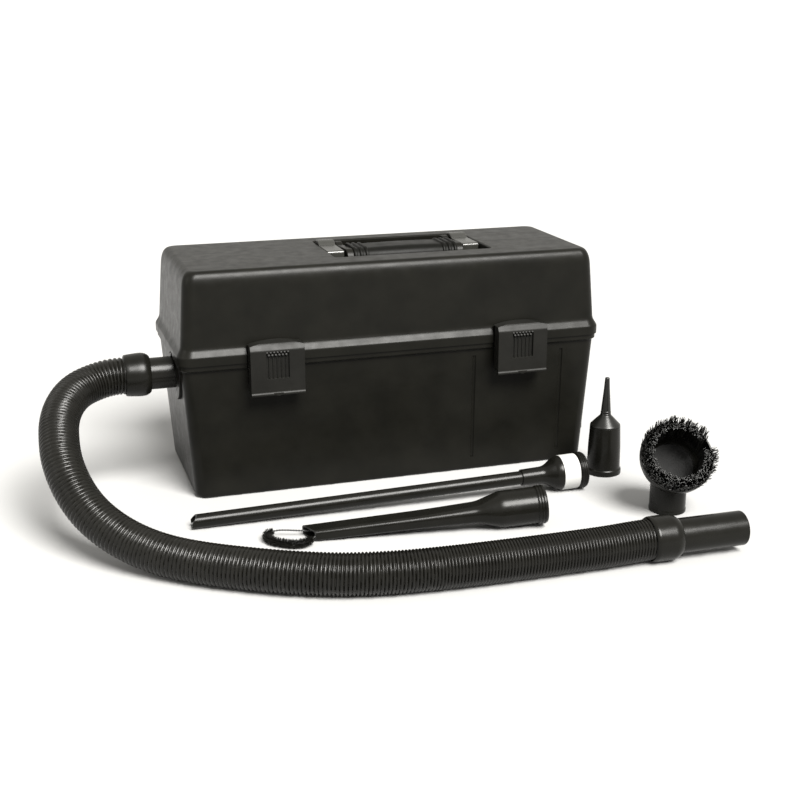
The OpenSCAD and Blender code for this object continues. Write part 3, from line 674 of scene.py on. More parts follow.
# ---------- case ----------
LID_HIGH = corners("lid_shell")[1]
RIM_X = LID_HIGH.x
RIM_Y = 84.5
TOP_Z = LID_HIGH.z
HINGE = pivot("lid_hinge")
SEAM_Z = HINGE.z
HINGE_X = 130
HINGE_HALF = 10
HINGE_ENDS = [(side * HINGE_X - HINGE_HALF, side * HINGE_X + HINGE_HALF) for side in (-1, 1)]
HINGE_PLAY = 0.3
KNUCKLE = 4.6
LID_KNUCKLE = 10
LATCH_PIN = pivot("latch_left_swing")
LATCH_X = abs(LATCH_PIN.x)
LATCH_GAP = 27
NOTCH_FRONT_Y = -86
EAR_X, EAR_HALF = 17, 2
EAR_RADIUS, EAR_BELOW = 3.2, 1.2
POST_X, POST_Y = (-188, 192), 60
POST_RADIUS = 5
POST_BOTTOM_Z, POST_TOP_Z = 2, 121.8
PORT_Y, PORT_Z = PORT_POINT.y, PORT_POINT.z
PORT_FLAT_Z = 129
PORT_HOLE = 27.1
PORT_PASSAGE = 19.6
LEFT_END, RIGHT_END = (-230, -195), (195, 230)  # spans that cut through an end wall
OUTLET_HOLE, OUTLET_Y, OUTLET_Z = 22.1, 34, 92
SWITCH_HOLE = ((-52.1, 81.9), (-23.9, 118.1))
POWER_HOLE = ((-60.1, 26.9), (-11.9, 61.1))
SLOT_COUNT, SLOT_PITCH = 6, 9
SLOT_Y, SLOT_WIDTH = 4, 4
SLOT_BOTTOM_Z, SLOT_TOP_Z = 16, 56
GROOVE_X = (79, 173)
GROOVE_RADIUS = 1.9
GROOVE_STEPS = 40
RECESS = Vector((29, 4, 0))
RECESS_UNDER_Z = 193


def knuckle(x0, x1, top):
    """Hinge knuckle with the web that joins it to its shell."""
    outline = arc(HINGE.y, HINGE.z, KNUCKLE, 0, 360, 32)[:-1]
    if top:
        web = brick((x0, 83, HINGE.z + 0.4), (x1, HINGE.y, HINGE.z + KNUCKLE - 0.01))
    else:
        web = brick((x0, 82, HINGE.z - KNUCKLE + 0.01), (x1, HINGE.y, HINGE.z - 0.6))
    return prism(outline, x0, x1), web


def notch(side, back_y, z0, z1):
    """Space in a rim behind a latch."""
    x = side * LATCH_X
    return brick((x - LATCH_GAP, NOTCH_FRONT_Y, z0), (x + LATCH_GAP, back_y, z1))


def latch_ear(x):
    """Ear that holds one end of a latch's pin."""
    y, z = LATCH_PIN.y, LATCH_PIN.z
    outline = [(-78.5, z - EAR_BELOW), (-78.5, z + EAR_RADIUS), (y, z + EAR_RADIUS)]
    outline += arc(y, z, EAR_RADIUS, 100, 300) + [(y + 2.95, z - EAR_BELOW)]
    return prism(outline, x - EAR_HALF, x + EAR_HALF)


def cut_port(base):
    """Hole for the port's collar, cut flat below the rim, and the passage behind it."""
    hole = [p for p in arc(PORT_Y, PORT_Z, PORT_HOLE, 0, 360, 72)[:-1] if p.y < PORT_FLAT_Z]
    edge = math.sqrt(PORT_HOLE ** 2 - (PORT_FLAT_Z - PORT_Z) ** 2)
    start = next(i for i, p in enumerate(hole) if p.x < PORT_Y and p.y > PORT_Z)
    hole = hole[start:] + hole[:start]
    hole = [(PORT_Y - edge, PORT_FLAT_Z)] + hole + [(PORT_Y + edge, PORT_FLAT_Z)]
    cut(base, prism(hole, *LEFT_END), rod_x(*LEFT_END, PORT_PASSAGE, PORT_Y, PORT_Z))


def cut_right_end(base):
    """Blower outlet, switch, power inlet and exhaust slots."""
    cut(base, rod_x(*RIGHT_END, OUTLET_HOLE, OUTLET_Y, OUTLET_Z))
    for low, high in (SWITCH_HOLE, POWER_HOLE):
        cut(base, brick((RIGHT_END[0], *low), (RIGHT_END[1], *high)))
    for i in range(SLOT_COUNT):
        y = SLOT_Y + i * SLOT_PITCH
        slot = rectangle(y, SLOT_BOTTOM_Z, y + SLOT_WIDTH, SLOT_TOP_Z)
        cut(base, prism(bend(slot, 1.9, 4, True), *RIGHT_END))


def groove(x):
    """Upright groove in the front panel, along its slope."""
    top, bottom = Vector((x, -80.35, 122)), Vector((x, -77.1, 14))
    rows = []
    for k in range(GROOVE_STEPS + 1):
        point = bottom + (top - bottom) * k / GROOVE_STEPS
        rows.append([
            point + Vector((GROOVE_RADIUS * math.cos(a), GROOVE_RADIUS * math.sin(a), 0)) for a in turns(20)])
    return loft(rows)


def make_base():
    """Tapered shell with its rim, posts, latch ears, knuckles and holes."""
    inner = bend([(190, 60, 3, 4), (199.8, 73.2, 3, 8), (208.5, 77, 131, 8), (208.5, 77, SEAM_Z - 0.3, 8)],
                 [0, 3, 2, 0], 4)
    outer = bend([(213.5, 83, SEAM_Z - 0.3, 13), (213.5, 83, 130, 13), (211.3, 80, 128.6, 11),
                  (202.5, 76.1, 0, 11), (194, 67, 0, 6)], [0.5, 0.5, 0.8, 6, 0], 5)
    base = to_object("base", loft([ring(s) for s in inner + outer]))
    for x in POST_X:
        for y in (-POST_Y, POST_Y):
            add(base, upright(x, y, POST_BOTTOM_Z, POST_TOP_Z, POST_RADIUS))
    for side in (-1, 1):
        for ear in (-1, 1):
            add(base, latch_ear(side * LATCH_X + ear * EAR_X))
    for x0, x1 in HINGE_ENDS:
        add(base, *knuckle(x0, x1, False))
    cut_port(base)
    cut_right_end(base)
    for side in (-1, 1):
        cut(base, notch(side, -80.3, 129.6, 140))
    for x in GROOVE_X:
        cut(base, groove(x))
    finished(base, "case_base", "base", "case_black", ["base_shell"], PANEL_ANGLE)


def cut_recess(lid):
    """Recess for the handle: a pocket under the lid's top, then its hole with a rounded edge."""
    add(lid, loft([[p + RECESS for p in ring((84, 49, z, 7))] for z in (RECESS_UNDER_Z, TOP_Z - 2)]))
    floor_z = corners("handle_brackets")[0].z - 0.1
    profile = [(79.4, 44.4, floor_z, 2.4), (80.6, 45.6, floor_z + 0.5, 3.6), (81, 46, floor_z + 1.6, 4),
               (81, 46, TOP_Z - 2, 4), (81.3, 46.3, TOP_Z - 1, 4.3), (82, 47, TOP_Z - 0.3, 5),
               (83, 48, TOP_Z + 0.1, 6), (83, 48, TOP_Z + 9, 6)]
    cut(lid, loft([[p + RECESS for p in ring(s, 8)] for s in profile]))


def make_lid():
    """Domed shell with its rim, the handle's recess and knuckles."""
    inner = bend([(184, 54.6, TOP_Z - 3, 4), (202.8, 73.4, TOP_Z - 3, 8), (208, 77, 150, 8),
                  (208.5, 77, SEAM_Z, 8)], [0, 15, 2, 0], 6)
    outer = bend([(RIM_X, RIM_Y, SEAM_Z, 14), (RIM_X, RIM_Y, 143, 14), (211, 80, 150, 11),
                  (205.6, 76.3, TOP_Z, 10.5), (188, 58.7, TOP_Z, 4)], [0.5, 1.3, 3, 17, 0], 10)
    lid = to_object("lid", loft([ring(s, 12) for s in inner + outer]))
    cut_recess(lid)
    for side in (-1, 1):
        cut(lid, notch(side, -80.4, SEAM_Z - 1, 151))
    for x0, x1 in HINGE_ENDS:
        add(lid, *knuckle(x0 - LID_KNUCKLE, x0 - HINGE_PLAY, True))
        add(lid, *knuckle(x1 + HINGE_PLAY, x1 + LID_KNUCKLE, True))
        cut(lid, rod_x(x0 - HINGE_PLAY, x1 + HINGE_PLAY, KNUCKLE + 0.5, HINGE.y, HINGE.z))
    cut(lid, rod_x(*LEFT_END, PORT_PASSAGE + 0.2, PORT_Y, PORT_Z))
    finished(lid, "case_lid", "lid", "case_black", ["lid_shell"], PANEL_ANGLE)


make_base()
make_lid()


def make_port():
    """Round collar in the left end that the hose's tube pushes into, cut flat below the rim."""
    low, high = corners("inlet_port")
    length = high.x - low.x
    outline = [(15.25, 0), (17.5, 0), (19.4, 0.6), (27, 0.6), (27, 7.5), (19.4, 7.5), (19.4, length),
               (15.25, length)]
    cuts = [0.4, 0.4, 0.6, 1.2, 0.3, 0.3, 0.5, 0.3]
    place = along((low.x, PORT_Y, PORT_Z), (1, 0, 0))
    port = turned(outline, cuts, 4, 80, place)
    cut(port, brick((low.x - 1, PORT_Y - 40, PORT_FLAT_Z - 0.1), (low.x + 7.6, PORT_Y + 40, 160)))
    finished(port, "hose_port", "base", "case_black", ["inlet_port"])


make_port()


# ---------- latches ----------
LATCH_TOP_Z = 156
LATCH_ARCH = 100
LATCH_FACE_Y = -96.5
CHEEK = 3
CHEEK_RADIUS = 3.6
WINDOW_HALF = 11
WINDOW_BOTTOM_Z, WINDOW_TOP_Z = 121, 147
WINDOW_BACK_Y = -94.1
RIB_COUNT = 5
RIB_SPACING = 4
DOT_SPACING = 20 / 6
DOT_ROWS = ((7, -96.2, 146.6), (6, -96.0, 143.9))
TAB_HALF = 8
TAB_Z = 109.6


def latch_plate(name, x, half):
    """Plate with a sloped lip over the lid's rim, an arched top, a window and two cheeks on the pin."""
    profile = [(LATCH_FACE_Y, 108), (LATCH_FACE_Y, 148.2), (-92.4, 154.8), (-81.2, LATCH_TOP_Z),
               (-81.2, 152.8), (-90, 151.2), (-93, 147), (-93, 112), (-92.5, 108.6), (-92.5, 104.8),
               (-97.4, 104.8), (-97.4, 106.4)]
    cuts = [0.6, 1.2, 1.4, 0.6, 0.6, 2.5, 2, 1, 0.6, 0.8, 0.6, 0.5]
    latch = to_object(name, prism(bend(profile, cuts, 4, True), x - half, x + half))
    arch = [(x - 40, 170), (x + 40, 170)] + arc(x, LATCH_TOP_Z - LATCH_ARCH, LATCH_ARCH, 72, 108, 32)
    cut(latch, loft([[Vector((p[0], y, p[1])) for p in arch] for y in (-101, -77)]))
    window = rectangle(x - WINDOW_HALF, WINDOW_BOTTOM_Z, x + WINDOW_HALF, WINDOW_TOP_Z)
    window = bend(window, 1.2, 4, True)
    cut(latch, loft([[Vector((p.x, y, p.y)) for p in window] for y in (-98, WINDOW_BACK_Y)]))
    for cheek in (x - half, x + half - CHEEK):
        outline = [(-94, 109), (-94, 152), (-85.2, 152), (-85.2, LATCH_PIN.z)]
        outline += arc(LATCH_PIN.y, LATCH_PIN.z, CHEEK_RADIUS, 0, -130, 10)
        add(latch, prism(outline, cheek, cheek + CHEEK))
    return soften(latch, 0.3)


def latch_ribs(x):
    """Upright grip ribs in the window."""
    rib = bend([(0, 0), (0.75, 0), (0.75, 19.5), (0, 19.5)], [0, 0.3, 0.7, 0], 3)
    return [
        lathe(rib, 16, Matrix.Translation((x + (i - (RIB_COUNT - 1) / 2) * RIB_SPACING, -94.3, 121.2)))
        for i in range(RIB_COUNT)]


def latch_dots(x):
    """Two rows of slanted grip dots at the window's top."""
    dot = bend([(0, -2.4), (1.35, -2.4), (1.35, 0.3), (0, 0.6)], [0, 0, 0.3, 0], 3)
    dots = []
    for count, y, z in DOT_ROWS:
        for i in range(count):
            place = along((x + (i - (count - 1) / 2) * DOT_SPACING, y, z), (0, -0.84, 0.54))
            dots.append(lathe(dot, 20, place))
    return dots


def latch_tab(x):
    """Half-round thumb tab at the bottom."""
    outline = bend([(0, 0), (5.5, 0), (5.5, 4.6), (0, 4.6)], [0, 1, 1, 0], 4)
    tab = to_object("tab", lathe(outline, 40, along((x, -93.2, TAB_Z), (0, -1, 0))))
    cut(tab, brick((x - TAB_HALF, -100, TAB_Z - 2.4), (x + TAB_HALF, -90, TAB_Z + 7.4)))
    return to_loose_mesh(tab)


def make_latch(name):
    """Draw latch: plate, ribs, dots and tab in one piece."""
    x = pivot(name + "_swing").x
    low, high = corners(name)
    plate = latch_plate(name, x, (high.x - low.x) / 2)
    latch = merge(to_loose_mesh(plate), *latch_ribs(x), *latch_dots(x), latch_tab(x))
    finished(to_object(name, latch), name + "_plate", name, "latch_black", [name])


make_latch("latch_left")
make_latch("latch_right")


# ---------- handle ----------
FOLD = pivot("handle_fold")
GRIP_BAND, GRIP_GAP = 3.0, 3.0
GRIP_WAIST = 1.5
ARM_WIDTH = 7
BRACKET_WIDTH = 17.4


def stadium(x, half, radius, y, z, inset):
    """Stadium section at x, centred on y and z, with its outline moved in."""
    half, radius = half - inset, radius - inset
    points = arc(y + half - radius, z, radius, -90, 90) + arc(y + radius - half, z, radius, 90, 270)
    return [Vector((x, p.x, p.y)) for p in points]


def make_grip():
    """Grip with three raised bands at each end and a slim waist between them."""
    low, high = corners("handle_grip")
    radius, half = (high.z - low.z) / 2, (high.y - low.y) / 2
    centre = (high + low) / 2
    half_profile = [(0.0, 1.2)]
    x = 0.0
    for _ in range(3):
        half_profile += [
            (x + 0.05, 0.5), (x + 0.6, 0.05), (x + 1.5, 0), (x + 2.4, 0.05), (x + GRIP_BAND, 0.6),
            (x + GRIP_BAND + 0.4, GRIP_WAIST), (x + GRIP_BAND + GRIP_GAP - 0.4, GRIP_WAIST)]
        x += GRIP_BAND + GRIP_GAP
    middle = (high.x - low.x) / 2
    half_profile += [(x + 1, GRIP_WAIST - 0.1), (x + 6, 1.2), (middle, 0.9)]
    profile = [(low.x + x, inset) for x, inset in half_profile]
    profile += [(high.x - x, inset) for x, inset in reversed(half_profile[:-1])]
    rows = [stadium(x, half, radius, centre.y, centre.z, inset) for x, inset in profile]
    grip = to_object("grip", loft(rows))
    finished(grip, "handle_grip_cover", "handle", "grip_soft", ["handle_grip"])


def end_pair(node, outline, width, softness):
    """Two prisms of one outline with rounded edges, at the two ends of a CAD node."""
    low, high = corners(node)
    pair = []
    for x in (low.x, high.x - width):
        part = to_object("part", prism(outline, x, x + width))
        pair.append(to_loose_mesh(soften(part, softness, 3)))
    return to_object("pair", merge(*pair))


def make_arms():
    """Arms from the pins to the two ends of the grip."""
    outline = arc(FOLD.y, FOLD.z, 11, -50, 130, 20) + [(14, 221.6), (-5, 222.8)]
    outline += arc(-5.5, 213, 9.9, 100, 260, 16) + [(6, 203.4)]
    arms = end_pair("handle_arms", bend(outline, 0.6, 2, True), ARM_WIDTH, 0.7)
    finished(arms, "handle_end_arms", "handle", "case_black", ["handle_arms"])


def make_brackets():
    """Blocks at the two ends of the recess, each with a round barrel over the handle's pin."""
    bottom = corners("handle_brackets")[0].z
    barrel = arc(FOLD.y, FOLD.z, 13.5, 0, 135, 20)
    outline = [(48, bottom), (48, 209)] + barrel + [(-8, 221.5), (-8, bottom)]
    cuts = [0, 1.5] + [0] * (len(barrel) - 1) + [2, 3, 0]
    blocks = end_pair("handle_brackets", bend(outline, cuts, 5, True), BRACKET_WIDTH, 0.9)
    # the blocks' lighter material is a painted highlight on them
    finished(blocks, "handle_blocks", "lid", "bracket_gloss", ["handle_brackets"])


make_grip()
make_arms()
make_brackets()


# ---------- wand ----------
def tool_matrix(position, yaw, pitch):
    """Frame of a tool that lies on the floor, with its Z along the tool."""
    yaw, pitch = math.radians(yaw), math.radians(pitch)
    direction = Vector((math.cos(pitch) * math.cos(yaw), math.cos(pitch) * math.sin(yaw), math.sin(pitch)))
    side = Vector((0, 0, 1)).cross(direction).normalized()
    turn = Matrix((direction.cross(side) * -1, side, direction)).transposed()
    return Matrix.Translation(position) @ turn.to_4x4()


WAND = tool_matrix((-219, -145, 6.9), -1.6, 1.69)
CREVICE = tool_matrix((-122, -199, 5.4), -8.9, 3.9)
SOCKET_BORE = 15.4
WAND_RADIUS, WAND_BORE = 6.6, 5.4
WAND_LENGTH = 330
WAND_SLANT = math.radians(38)
ADAPTER_START, BAND_START, WAND_RING_START = 320, 360, 378
BAND_LENGTH = 16.5
RIDGES = 3


def up_tool(tool, distance):
    """Place at a distance along a tool's axis."""
    return tool @ Matrix.Translation((0, 0, distance))


def make_wand_tube():
    """Thin tube with a slanted mouth."""
    outline = [(WAND_RADIUS, 0), (WAND_RADIUS, WAND_LENGTH), (WAND_BORE, WAND_LENGTH), (WAND_BORE, 0)]
    tube = to_object("wand", lathe(bend(outline, [0, 0.3, 0.3, 0], 3, True), 56, Matrix()))
    wedge = brick((-30, -8, -30), (30, 8, 0))
    wedge.transform(Matrix.Rotation(WAND_SLANT, 4, "Y"))
    cut(tube, wedge)
    tube.data.transform(WAND)
    finished(tube, "wand_pipe", "wand", "tool_black", ["wand_tube"])


def make_wand_adapter():
    """Bell that widens from the thin tube to a tool socket, with a groove for its band."""
    outline = [(6.7, 0), (8, 0), (8.4, 21), (9.4, 25), (12.5, 30), (15.6, 33.5), (16.8, 38), (16.8, 39.6),
               (16.3, 40), (16.3, 57.2), (16.8, 57.9), (SOCKET_BORE, 57.9), (SOCKET_BORE, 36), (6.7, 22)]
    cuts = [0.3, 0.6, 2, 3, 3, 2.5, 2, 0.2, 0.2, 0.2, 0.2, 0.3, 1, 1]
    bell = turned(outline, cuts, 5, 72, up_tool(WAND, ADAPTER_START))
    finished(bell, "wand_bell", "wand", "tool_black", ["wand_adapter"])


def make_band():
    """Plain pale band round the adapter."""
    outline = [(16.35, 0), (17.0, 0), (17.15, 0.3), (17.15, BAND_LENGTH - 0.3), (17.0, BAND_LENGTH),
               (16.35, BAND_LENGTH)]
    band = turned(outline, 0.15, 2, 72, up_tool(WAND, BAND_START))
    finished(band, "wand_band", "wand", "band_white", ["adapter_band"])


def make_end_ring(name, place, body, node, length, radius):
    """Ring with fine ridges round the mouth of a socket."""
    valley = radius - 0.55
    outline = [(SOCKET_BORE, 0), (radius - 0.7, 0), (radius - 0.6, 0.5)]
    ridge = (length - 1.4) / RIDGES
    for i in range(RIDGES):
        z = 0.7 + i * ridge
        outline += [(valley, z), (radius, z + 0.35), (radius, z + ridge - 0.75), (valley, z + ridge - 0.4)]
    outline += [(radius - 0.7, length), (SOCKET_BORE, length)]
    finished(turned(outline, 0.25, 3, 72, place), name, body, "tool_black", [node])


make_wand_tube()
make_wand_adapter()
make_band()
make_end_ring("wand_end_ring", up_tool(WAND, WAND_RING_START), "wand", "adapter_ring", 7, 18)


# ---------- crevice tool ----------
CREVICE_LENGTH = 206.9
CREVICE_RING_START = 207
MOUTH_SLANT = math.radians(-28)
BRUSH_LOOP = [
    (12, 5.5, 0), (0, 5.8, 0), (-10, 6.5, 1), (-19, 8, 2), (-28, 9, 2.5), (-35, 6, 2.5), (-38, 0, 2),
    (-36, -7, 1.5), (-29, -14, 1), (-20, -19, 0.5), (-11, -21, 0), (-3, -18, 0), (2, -12, 0), (6, -6.4, 0),
    (14, -5, 0)]
WIRE_STEP = 0.7
WIRE_TWIST = 5
STRAND_OFFSET = 0.45
STRAND_RADIUS = 0.48
TUFTED_FROM, TUFTED_TO = 0.36, 0.86
TUFT_HAIRS = 14
TUFT_REACH = 4.4
TUFT_THICK, TUFT_THIN = 0.36, 0.22
FLOOR_CLEARANCE = 0.3


def oval(s, half_y, half_z, radius):
    """Rounded section of the blade at distance s, in the tool's frame: X down, Y sideways, Z along."""
    return [Vector((p.y, p.x, s)) for p in ring((half_y, half_z, 0, radius), 8)]


def make_crevice():
    """Flat tapering blade with a slanted mouth, widening to a round socket."""
    outer = bend([(-12, 10, 4.9, 3.2), (108, 11, 6.2, 4.4), (153, 12, 8.4, 7), (165, 15, 13, 12.4),
                  (174, 16.9, 16.9, 16.85), (CREVICE_LENGTH, 16.9, 16.9, 16.85)], [0, 20, 4, 3, 3, 0], 6)
    inner = bend([(CREVICE_LENGTH, SOCKET_BORE, SOCKET_BORE, 15.35), (179, SOCKET_BORE, SOCKET_BORE, 15.35),
                  (172, 14, 12.6, 12.2), (150, 10.4, 6.6, 5.6), (108, 9.4, 4.7, 3.2), (-12, 8.4, 3.4, 2.2)],
                 [0, 1, 5, 8, 20, 0], 6)
    rows = [oval(*s) for s in outer] + [oval(*s) for s in inner]
    blade = to_object("crevice", loft(rows, True))
    wedge = brick((-20, -20, -40), (20, 50, 0))
    wedge.transform(Matrix.Translation((0, -10, 5)) @ Matrix.Rotation(MOUTH_SLANT, 4, "X"))
    cut(blade, wedge)
    blade.data.transform(CREVICE)
    finished(blade, "crevice_blade", "crevice", "tool_black", ["crevice_tool"])


def circle_row(centre, side, up, radius, sides):
    """Loop of points round a centre, square to a line."""
    return [centre + (side * math.cos(a) + up * math.sin(a)) * radius for a in turns(sides)]


def hair(bm, root, tip, bow, thick, thin, sides, steps):
    """Tapered bristle from root to tip, bowed sideways."""
    axis = (tip - root).normalized()
    side = axis.orthogonal().normalized()
    up = axis.cross(side)
    rows = []
    for k in range(steps + 1):
        t = k / steps
        centre = root.lerp(tip, t) + bow * (4 * t * (1 - t))
        rows.append(circle_row(centre, side, up, thick + (thin - thick) * t, sides))
    skin(bm, rows)


def loop_line():
    """Centreline of the brush's wire. Its points are given along, across and above the blade."""
    points = [CREVICE @ Vector((-z, y, s)) for s, y, z in BRUSH_LOOP]
    direction = (CREVICE.to_3x3() @ Vector((0, 0, 1))).normalized()
    return resample(catmull(points, -direction, direction, 12), WIRE_STEP)


def make_wire():
    """Two strands twisted round each other."""
    frames = cross_frames(loop_line())
    strands = bmesh.new()
    for start in (0, math.pi):
        rows = []
        for i, (point, side, up) in enumerate(frames):
            turn = start + i * WIRE_STEP / WIRE_TWIST * 2 * math.pi
            centre = point + (side * math.cos(turn) + up * math.sin(turn)) * STRAND_OFFSET
            rows.append(circle_row(centre, side, up, STRAND_RADIUS, 8))
        skin(strands, rows)
    turn_outward(strands)
    finished(to_object("wire", strands), "brush_wire", "crevice_brush", "wire_dark",
             ["crevice_brush_wire"], math.radians(60))


def make_wire_tufts():
    """Short bristles in a spiral round the wire's loop."""
    jitter = random.Random(4).uniform
    frames = cross_frames(loop_line())
    bm = bmesh.new()
    first, last = int(len(frames) * TUFTED_FROM), int(len(frames) * TUFTED_TO)
    for i in range(first, last):
        point, side, up = frames[i]
        fade = min(1, (i - first + 2) / 8, (last - i + 1) / 8)
        for k in range(TUFT_HAIRS):
            a = 2 * math.pi * (k / TUFT_HAIRS + i * 0.11) + jitter(-0.15, 0.15)
            out = side * math.cos(a) + up * math.sin(a)
            along_wire = side.cross(up) * jitter(-0.9, 0.9)
            reach = (TUFT_REACH + jitter(-0.7, 0.5)) * (0.6 + 0.4 * fade)
            tip = point + out * reach + along_wire
            tip.z = max(tip.z, FLOOR_CLEARANCE)
            hair(bm, point + out * 0.5, tip, along_wire * 0.2, TUFT_THICK, TUFT_THIN, 3, 2)
    turn_outward(bm)
    finished(to_object("tufts", bm), "brush_tufts", "crevice_brush", "bristle_black",
             ["crevice_brush_tufts"], ROUND_ANGLE)


make_crevice()
make_end_ring("crevice_end_ring", up_tool(CREVICE, CREVICE_RING_START), "crevice", "crevice_ring", 9, 17.8)
make_wire()
make_wire_tufts()


# ---------- micro nozzle ----------
def nozzle_place():
    """Upright axis of the nozzle, from the floor."""
    low, high = corners("nozzle_body")
    centre = (low + high) / 2
    return Matrix.Translation((centre.x, centre.y, 0))


def make_nozzle_body():
    """Socket with a rim at its mouth."""
    outline = [(SOCKET_BORE, 0), (17.5, 0), (17.8, 0.6), (17.8, 5), (16.6, 6.4), (16.3, 28), (15.2, 50),
               (13.2, 50), (13, 31), (SOCKET_BORE, 28)]
    cuts = [0.2, 0.3, 0.3, 0.8, 0.6, 3, 0.4, 0.4, 1, 1]
    body = turned(outline, cuts, 4, 80, nozzle_place())
    finished(body, "nozzle_socket_body", "nozzle", "tool_black", ["nozzle_body"])


def make_nozzle_tip():
    """Cone with two collars and a thin hollow needle."""
    outline = [(3.4, 50.1), (15.2, 50.1), (15.1, 51.2), (7, 59.6), (5.5, 61), (5.3, 62.4), (4.9, 62.8),
               (5.2, 63.4), (5.1, 65), (4.7, 65.4), (4.9, 66), (3.0, 88), (2.3, 99.4), (1.9, 100),
               (1.1, 100), (1.6, 66)]
    cuts = [0.2, 0.5, 1, 2.2, 0.6, 0.3, 0.2, 0.3, 0.3, 0.2, 0.3, 2, 0.3, 0.2, 0.1, 1]
    tip = turned(outline, cuts, 5, 64, nozzle_place())
    finished(tip, "nozzle_needle", "nozzle", "tip_black", ["nozzle_tip"])


make_nozzle_body()
make_nozzle_tip()


# ---------- round dusting brush ----------
DUSTING = Vector((217, -234, 0))
HEAD = (Matrix.Translation(DUSTING + Vector((4.5, 1, 47))) @ Matrix.Rotation(math.radians(-14), 4, "Z")
        @ Matrix.Rotation(math.radians(51), 4, "X"))
CUP_BOTTOM_Z = -16.5
PASSAGE_RADIUS = 11.8
BRISTLE_ROWS = ((23.4, 24.2, 32), (25.0, 26.2, 36), (26.6, 29.0, 38), (28.4, 32.4, 42), (29.9, 35.2, 46))
BRISTLE_ROOT_Z = 2.4
BRISTLE_THICK, BRISTLE_THIN = 0.42, 0.24
WIDEST_BRISTLE = 36.6
HAIRS_PER_TUFT = 9
PARTING = math.radians(18)
PARTING_HALF = 0.035
PARTING_LEAN = 0.20


def make_dusting_body():
    """Neck with its socket, and the cup that holds the ring of bristles."""
    neck = [(0, 24), (12, 24), (12, 20), (SOCKET_BORE, 20), (SOCKET_BORE, 0), (17.2, 0), (17.4, 0.6),
            (17.4, 3), (17, 4), (17, 36), (0, 36)]
    neck = bend(neck, [0, 0, 0.4, 0.4, 0.4, 0.3, 0.3, 0.6, 0.6, 0, 0], 4)
    body = to_object("dusting", lathe(neck, 80, Matrix.Translation(DUSTING)))
    inside = [(0, CUP_BOTTOM_Z), (16, CUP_BOTTOM_Z), (26, -9), (31.6, 3), (32.6, 14), (38, 40), (0, 40)]
    cut(body, lathe(inside, 96, HEAD))
    cup = [(0, -20), (17, -20), (27, -12), (33, 2), (34.4, 10), (34.4, 14), (32.6, 14), (31.6, 3), (26, -9),
           (16, CUP_BOTTOM_Z), (0, CUP_BOTTOM_Z)]
    cup = bend(cup, [0, 4, 6, 5, 2, 0.7, 0.7, 4, 5, 4, 0], 5)
    add(body, lathe(cup, 96, HEAD))
    # air passage from the neck into the cup
    cut(body, upright(DUSTING.x, DUSTING.y, 15, 35, PASSAGE_RADIUS, 48))
    finished(
        body, "dusting_cup", "dusting_brush", "tool_black", ["dusting_brush_body"], math.radians(32))


def make_dusting_shade_disc():
    """Dark matt disc across the bottom of the cup, over its floor and passage: painted shade inside the cup."""
    outline = [(0, -16.4), (15.9, -16.4), (21.5, -12.4), (21.5, -11.4), (15, -15), (0, -15)]
    bm = lathe(bend(outline, [0, 2, 0.3, 0.3, 2, 0], 4), 80, HEAD)
    finished(to_object("shade_disc", bm), "dusting_painted_shade_disc", "dusting_brush", "foam_black")


def make_dusting_bristles():
    """Rows of splayed tufts, parted in a V at one side."""
    jitter = random.Random(11).uniform
    bm = bmesh.new()
    for row, (root_radius, tip_radius, tufts) in enumerate(BRISTLE_ROWS):
        for i in range(tufts):
            angle = 2 * math.pi * (i + 0.4 * row) / tufts + jitter(-0.03, 0.03)
            away = (angle - PARTING + math.pi) % (2 * math.pi) - math.pi
            if abs(away) < PARTING_HALF:
                continue
            lean = math.copysign(PARTING_LEAN * math.exp(-abs(away) * 4), away)
            tilt = jitter(-0.05, 0.05)
            top = jitter(23.5, 26.2)
            for _ in range(HAIRS_PER_TUFT):
                spread = jitter(-0.06, 0.06)
                a, b = angle + spread * 0.4, angle + spread * 1.3 + lean + tilt
                foot = root_radius + jitter(-0.5, 0.5)
                reach = min(WIDEST_BRISTLE, tip_radius + jitter(-1.3, 1.3))
                root = Vector((math.cos(a) * foot, math.sin(a) * foot, BRISTLE_ROOT_Z))
                height = top + jitter(-1.6, 0.5)
                tip = Vector((math.cos(b) * reach, math.sin(b) * reach, height))
                bow = Vector((jitter(-1, 1), jitter(-1, 1), 0)) * 1.1
                bow = HEAD.to_3x3() @ bow
                hair(bm, HEAD @ root, HEAD @ tip, bow, BRISTLE_THICK, BRISTLE_THIN, 4, 5)
    turn_outward(bm)
    finished(to_object("bristles", bm), "dusting_bristles", "dusting_brush", "bristle_black",
             ["dusting_brush_bristles"], ROUND_ANGLE)


make_dusting_body()
make_dusting_shade_disc()
make_dusting_bristles()


# ---------- CAD nodes that are shown as they are ----------
NODE_WELD = 0.000005
NODE_BEVEL = 0.0003
NODE_BEVEL_ANGLE = math.radians(50)


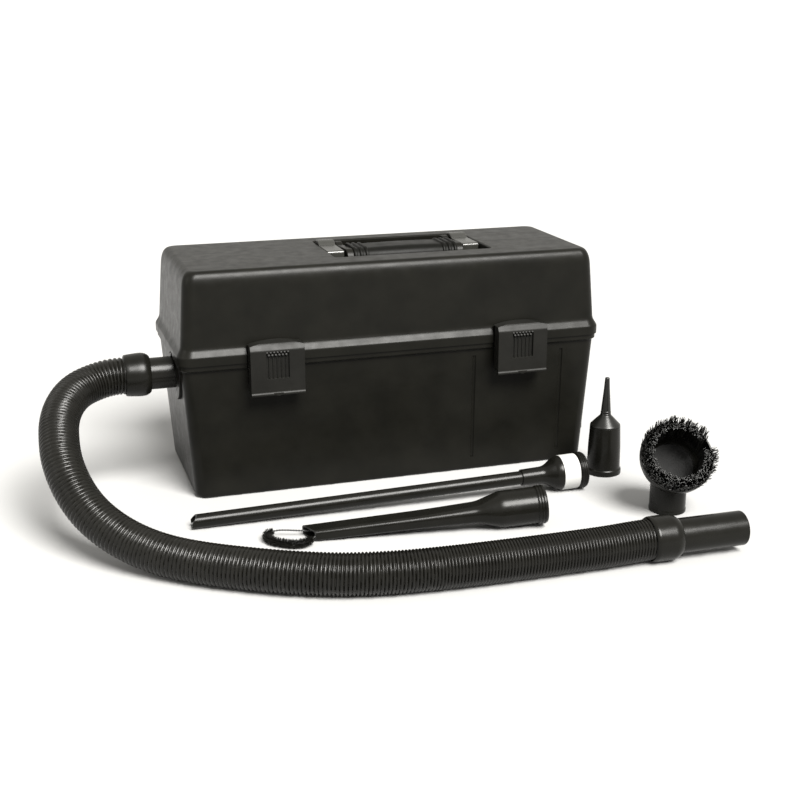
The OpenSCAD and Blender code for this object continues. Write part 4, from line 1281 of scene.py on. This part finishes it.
def dress_cad_nodes():
    """Gives every shown CAD node its slot's material, rounded edges and smooth curves."""
    slots = {part["node"]: part["material_slot"] for part in frame["record"]["subparts"]}
    for name, node in frame["nodes"].items():
        if node.hide_render:
            continue
        material = MATERIALS[slots[name]]
        if not node.material_slots:
            node.data.materials.append(material)
        for place in node.material_slots:
            place.material = material
        weld = node.modifiers.new("weld", "WELD")
        weld.merge_threshold = NODE_WELD
        bevel = node.modifiers.new("bevel", "BEVEL")
        bevel.width = NODE_BEVEL
        bevel.segments = 2
        bevel.limit_method = "ANGLE"
        bevel.angle_limit = NODE_BEVEL_ANGLE
        normals = node.modifiers.new("normals", "WEIGHTED_NORMAL")
        normals.keep_sharp = True


dress_cad_nodes()


# ---------- floor and light ----------
FLOOR_REACH = 5000
FLOOR_DARK, FLOOR_LIGHT = grey(0.335), grey(0.345)
WORLD_COLOUR = (1.0, 0.98, 0.93, 1)
WORLD_STRENGTH = 0.8


def make_floor():
    """Plain pale floor, so wide that its edge is far away in every view."""
    bm = bmesh.new()
    bmesh.ops.create_grid(bm, x_segments=1, y_segments=1, size=FLOOR_REACH)
    floor = to_object("floor", bm)
    material, tree, coords = start_material("floor_paper")
    tone = two_tones(tree, noise(tree, coords, 3, 2), FLOOR_DARK, FLOOR_LIGHT)
    finish_material(material, {"Base Color": tone, "Roughness": 0.9, "Specular IOR Level": 0.1})
    floor.data.materials.append(material)


def sun_light(name, azimuth, elevation, width, strength, colour):
    """Soft light as wide as a softbox, the same over the whole floor."""
    data = bpy.data.lights.new(name, "SUN")
    data.energy = strength
    data.angle = math.radians(width)
    data.color = colour
    light = bpy.data.objects.new(name, data)
    scene.collection.objects.link(light)
    light.rotation_euler = (-toward(azimuth, elevation)).to_track_quat("-Z", "Y").to_euler()


def make_light():
    """Pale surroundings, a wide key light from the front and a faint one from the left."""
    world = bpy.data.worlds.new("studio")
    world.use_nodes = True
    tree = world.node_tree
    fill(tree, tree.nodes["Background"], {"Color": WORLD_COLOUR, "Strength": WORLD_STRENGTH})
    scene.world = world
    sun_light("key", 16, 49, 31, 10.5, (1.0, 0.985, 0.95))
    sun_light("left", -80, 30, 30, 0.5, (1.0, 0.98, 0.94))


make_floor()
make_light()
